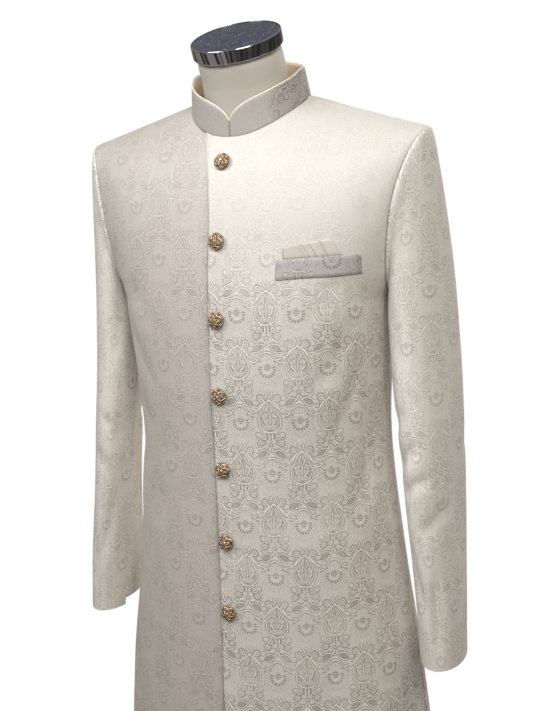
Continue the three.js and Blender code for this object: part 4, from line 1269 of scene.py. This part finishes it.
def lid_material():
    """Dark slate plastic with fine pale specks."""
    material, graph, shader = new_material("lid_slate")
    places = graph.node("ShaderNodeTexCoord").outputs["Object"]
    speck = graph.ramp(graph.noise(places, 300.0, 3.0, 0.7), 0.58, 0.68)
    cloud = graph.noise(places, 70.0, 3.0)
    ground = graph.mix(cloud, linear(36, 38, 50), linear(66, 69, 86))
    graph.set(shader.inputs["Base Color"], graph.mix(speck * 0.8, ground, linear(150, 154, 168)))
    graph.set(shader.inputs["Roughness"], 0.42 + speck * 0.2)
    shader.inputs["Specular IOR Level"].default_value = 0.3
    return material


# ---- assembly ----
def finish_piece(obj, node, material):
    """Gives a piece its material, and sets it on the body in place of its CAD node, if it has one."""
    obj.data.materials.clear()
    obj.data.materials.append(material)
    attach(obj, "root")
    if node:
        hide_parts(node)
    return obj


weave = brocade_group()
BODY_PHASE = (-0.022, -0.0246)  # moves the figure to where the photo has it, in metres of cloth
brocade = brocade_material(
    "brocade_ivory", weave, linear(242, 236, 226), linear(156, 147, 135), BODY_PHASE)
# Painted shade: a darker copy of the brocade for the under front.
brocade_right_painted_shade = brocade_material(
    "brocade_ivory_right_painted_shade", weave, linear(220, 211, 200), linear(140, 131, 120), BODY_PHASE)
# Painted light: a lighter copy of the brocade for the sleeves.
brocade_sleeve_painted_light = brocade_material(
    "brocade_ivory_sleeve_painted_light", weave, linear(250, 245, 235), linear(172, 163, 150))
# Painted shade: a darker copy of the brocade for the collar band.
collar_cloth_painted_shade = brocade_material(
    "brocade_collar_painted_shade", weave, linear(201, 194, 185), linear(119, 112, 104), (0.01, 0.03))
# Painted shade: a greyer copy of the brocade for the welt.
welt_cloth_painted_shade = brocade_material(
    "brocade_welt_painted_shade", weave, linear(208, 201, 197), linear(134, 127, 122), (0.012, 0.03))
square_cloth = brocade_material(
    "brocade_square", weave, linear(228, 221, 208), linear(186, 176, 162), strength=0.2)
facing = plain_cloth_material("facing_cream", linear(250, 232, 206), linear(234, 212, 184))
piping_cloth = plain_cloth_material("piping_cream", linear(250, 240, 224), linear(232, 218, 196))
gilt, form_skin = gilt_material(), form_material()
chrome, steel = chrome_material("chrome_bright", 0.05), chrome_material("steel_bright", 0.16)
slate = lid_material()

cloth = {**make_panels(), **make_sleeves()}
for node, piece in cloth.items():
    finish_piece(piece, node, brocade_sleeve_painted_light if "sleeve" in node else
                 brocade_right_painted_shade if node == "front_right" else brocade)
collar_outer, collar_inner = make_collar()
finish_piece(collar_outer, "collar_outer", collar_cloth_painted_shade)
finish_piece(collar_inner, "collar_inner", facing)
piping = finish_piece(make_piping(), None, piping_cloth)
welt = finish_piece(make_welt(), "pocket_welt", welt_cloth_painted_shade)
square = finish_piece(make_square(), "pocket_square", square_cloth)
for i, button in enumerate(make_buttons()):
    finish_piece(button, f"button_{i + 1}", gilt)
finish_piece(make_form(), "form_body", form_skin)
ring, lid = make_cap()
finish_piece(ring, "cap_ring", chrome)
finish_piece(lid, "cap_lid", slate)
for part, node in zip(make_stand(), ("base_plate", "pole_socket", "stand_pole")):
    finish_piece(part, node, steel)


# ---- floor, light and camera ----
FLOOR_RADIUS = 1.35
FLOOR_FADE = (1.3, 0.6)  # the floor is clear at the first distance from its middle, and solid at the second


def make_floor():
    """A pale round floor that fades out into the white of the studio. It lights nothing and isn't
    reflected, which leaves the cap ring its dark stretches."""
    mesh = bpy.data.meshes.new("floor")
    angle = np.linspace(0, 2 * np.pi, 96, endpoint=False)
    rim = np.stack([FLOOR_RADIUS * np.cos(angle), FLOOR_RADIUS * np.sin(angle), 0 * angle], -1)
    mesh.from_pydata(rim.tolist(), [], [tuple(range(96))])
    floor = bpy.data.objects.new("floor", mesh)
    bpy.context.scene.collection.objects.link(floor)
    floor.location.z = -0.0005
    material, graph, shader = new_material("floor_pale")
    shader.inputs["Base Color"].default_value = (0.9, 0.885, 0.86, 1)
    shader.inputs["Roughness"].default_value = 0.9
    shader.inputs["Emission Color"].default_value = (1, 1, 1, 1)
    shader.inputs["Emission Strength"].default_value = 0.38
    apart = graph.node("ShaderNodeSeparateXYZ", Vector=graph.node("ShaderNodeTexCoord").outputs["Object"])
    x, y = Value(graph, apart.outputs["X"]), Value(graph, apart.outputs["Y"])
    reach = graph.math("SQRT", x * x + y * y)
    graph.set(shader.inputs["Alpha"], graph.ramp(reach, *FLOOR_FADE))
    mesh.materials.append(material)
    floor.visible_glossy = floor.visible_diffuse = False


def soft_light(name, place, target, size, power, colour=(1, 1, 1), spread=180):
    """A rectangular lamp of the given width and height, power in watts and spread in degrees."""
    data = bpy.data.lights.new(name, "AREA")
    data.shape = "RECTANGLE"
    data.size, data.size_y = size
    data.energy = power
    data.color = colour
    data.spread = math.radians(spread)
    light = bpy.data.objects.new(name, data)
    light.location = place
    light.rotation_euler = (Vector(target) - Vector(place)).to_track_quat("-Z", "Y").to_euler()
    bpy.context.scene.collection.objects.link(light)
    return light


def make_world():
    """White where the camera sees it. What lights the object is a soft sky, dark below eye level but for
    pale streaks, mostly on one side, as a lit room looks in the cap ring."""
    world = bpy.data.worlds.new("studio")
    bpy.context.scene.world = world
    world.use_nodes = True
    graph = Graph(world.node_tree)
    background = world.node_tree.nodes["Background"]
    apart = graph.node("ShaderNodeSeparateXYZ", Vector=graph.node("ShaderNodeTexCoord").outputs["Generated"])
    x, y, z = (Value(graph, apart.outputs[key]) for key in "XYZ")
    bearing = graph.math("ARCTAN2", y, x)
    bands = graph.math("SINE", bearing * 9) * 0.5 + graph.math("SINE", bearing * 23 + 1.0) * 0.5
    streaks = graph.ramp(bands, -0.3, 0.2) * (graph.ramp(x, 0.3, -0.2) + 0.15)
    level = streaks.high(graph.ramp(z, 0.05, 0.45))
    graph.set(background.inputs["Color"], graph.mix(level, (0.12, 0.105, 0.09, 1), (1.0, 0.935, 0.835, 1)))
    background.inputs["Strength"].default_value = 0.34
    seen = graph.node("ShaderNodeBackground", Color=(1, 1, 1, 1), Strength=1.0)
    path = graph.node("ShaderNodeLightPath")
    mix = graph.node("ShaderNodeMixShader", Fac=path.outputs["Is Camera Ray"])
    graph.set(mix.inputs[1], background.outputs[0])
    graph.set(mix.inputs[2], seen.outputs[0])
    graph.set(world.node_tree.nodes["World Output"].inputs["Surface"], mix.outputs[0])


# Angles in degrees, place in metres and lens in millimetres, fitted to the photo's view.
CAMERA = dict(azimuth=22.9, elevation=10.5, roll=-2.4, place=(0.495, -1.157, 1.398), lens=50.2)


def make_camera():
    a, e, roll = (math.radians(CAMERA[key]) for key in ("azimuth", "elevation", "roll"))
    back = Vector((math.sin(a) * math.cos(e), -math.cos(a) * math.cos(e), math.sin(e)))
    right = Vector((math.cos(a), math.sin(a), 0))
    up = back.cross(right)
    across = right * math.cos(roll) + up * math.sin(roll)
    above = up * math.cos(roll) - right * math.sin(roll)
    data = bpy.data.cameras.new("camera")
    data.lens, data.sensor_width = CAMERA["lens"], 36
    data.clip_start, data.clip_end = 0.05, 100
    camera = bpy.data.objects.new("camera", data)
    turn = Matrix((across, above, back)).transposed()
    camera.matrix_world = Matrix.Translation(CAMERA["place"]) @ turn.to_4x4()
    bpy.context.scene.collection.objects.link(camera)
    bpy.context.scene.camera = camera


make_floor()
make_world()
soft_light("key", (0.80, -1.50, 2.50), (0.06, -0.08, 1.36), (1.0, 0.8), 16.6, (0.95, 0.97, 1.0), spread=135)
soft_light("sky", (-1.1, -1.3, 2.7), (-0.16, -0.08, 1.44), (0.9, 0.7), 4.2, (0.86, 0.92, 1.0), spread=65)
soft_light("fill", (-1.7, -2.4, 1.3), (-0.2, 0.0, 1.0), (1.2, 1.6), 1.2, (1.0, 0.95, 0.87))
soft_light("camera_side", (1.6, -1.7, 1.3), (0.0, 0.0, 0.95), (1.0, 1.4), 6.2, (1.0, 0.93, 0.82))
back_wash = soft_light("back_wash", (0.8, 2.8, 2.2), (0.0, 0.0, 1.1), (2.0, 2.0), 85)
back_wash.visible_glossy = False
make_camera()
bpy.context.scene.view_settings.view_transform = "Standard"
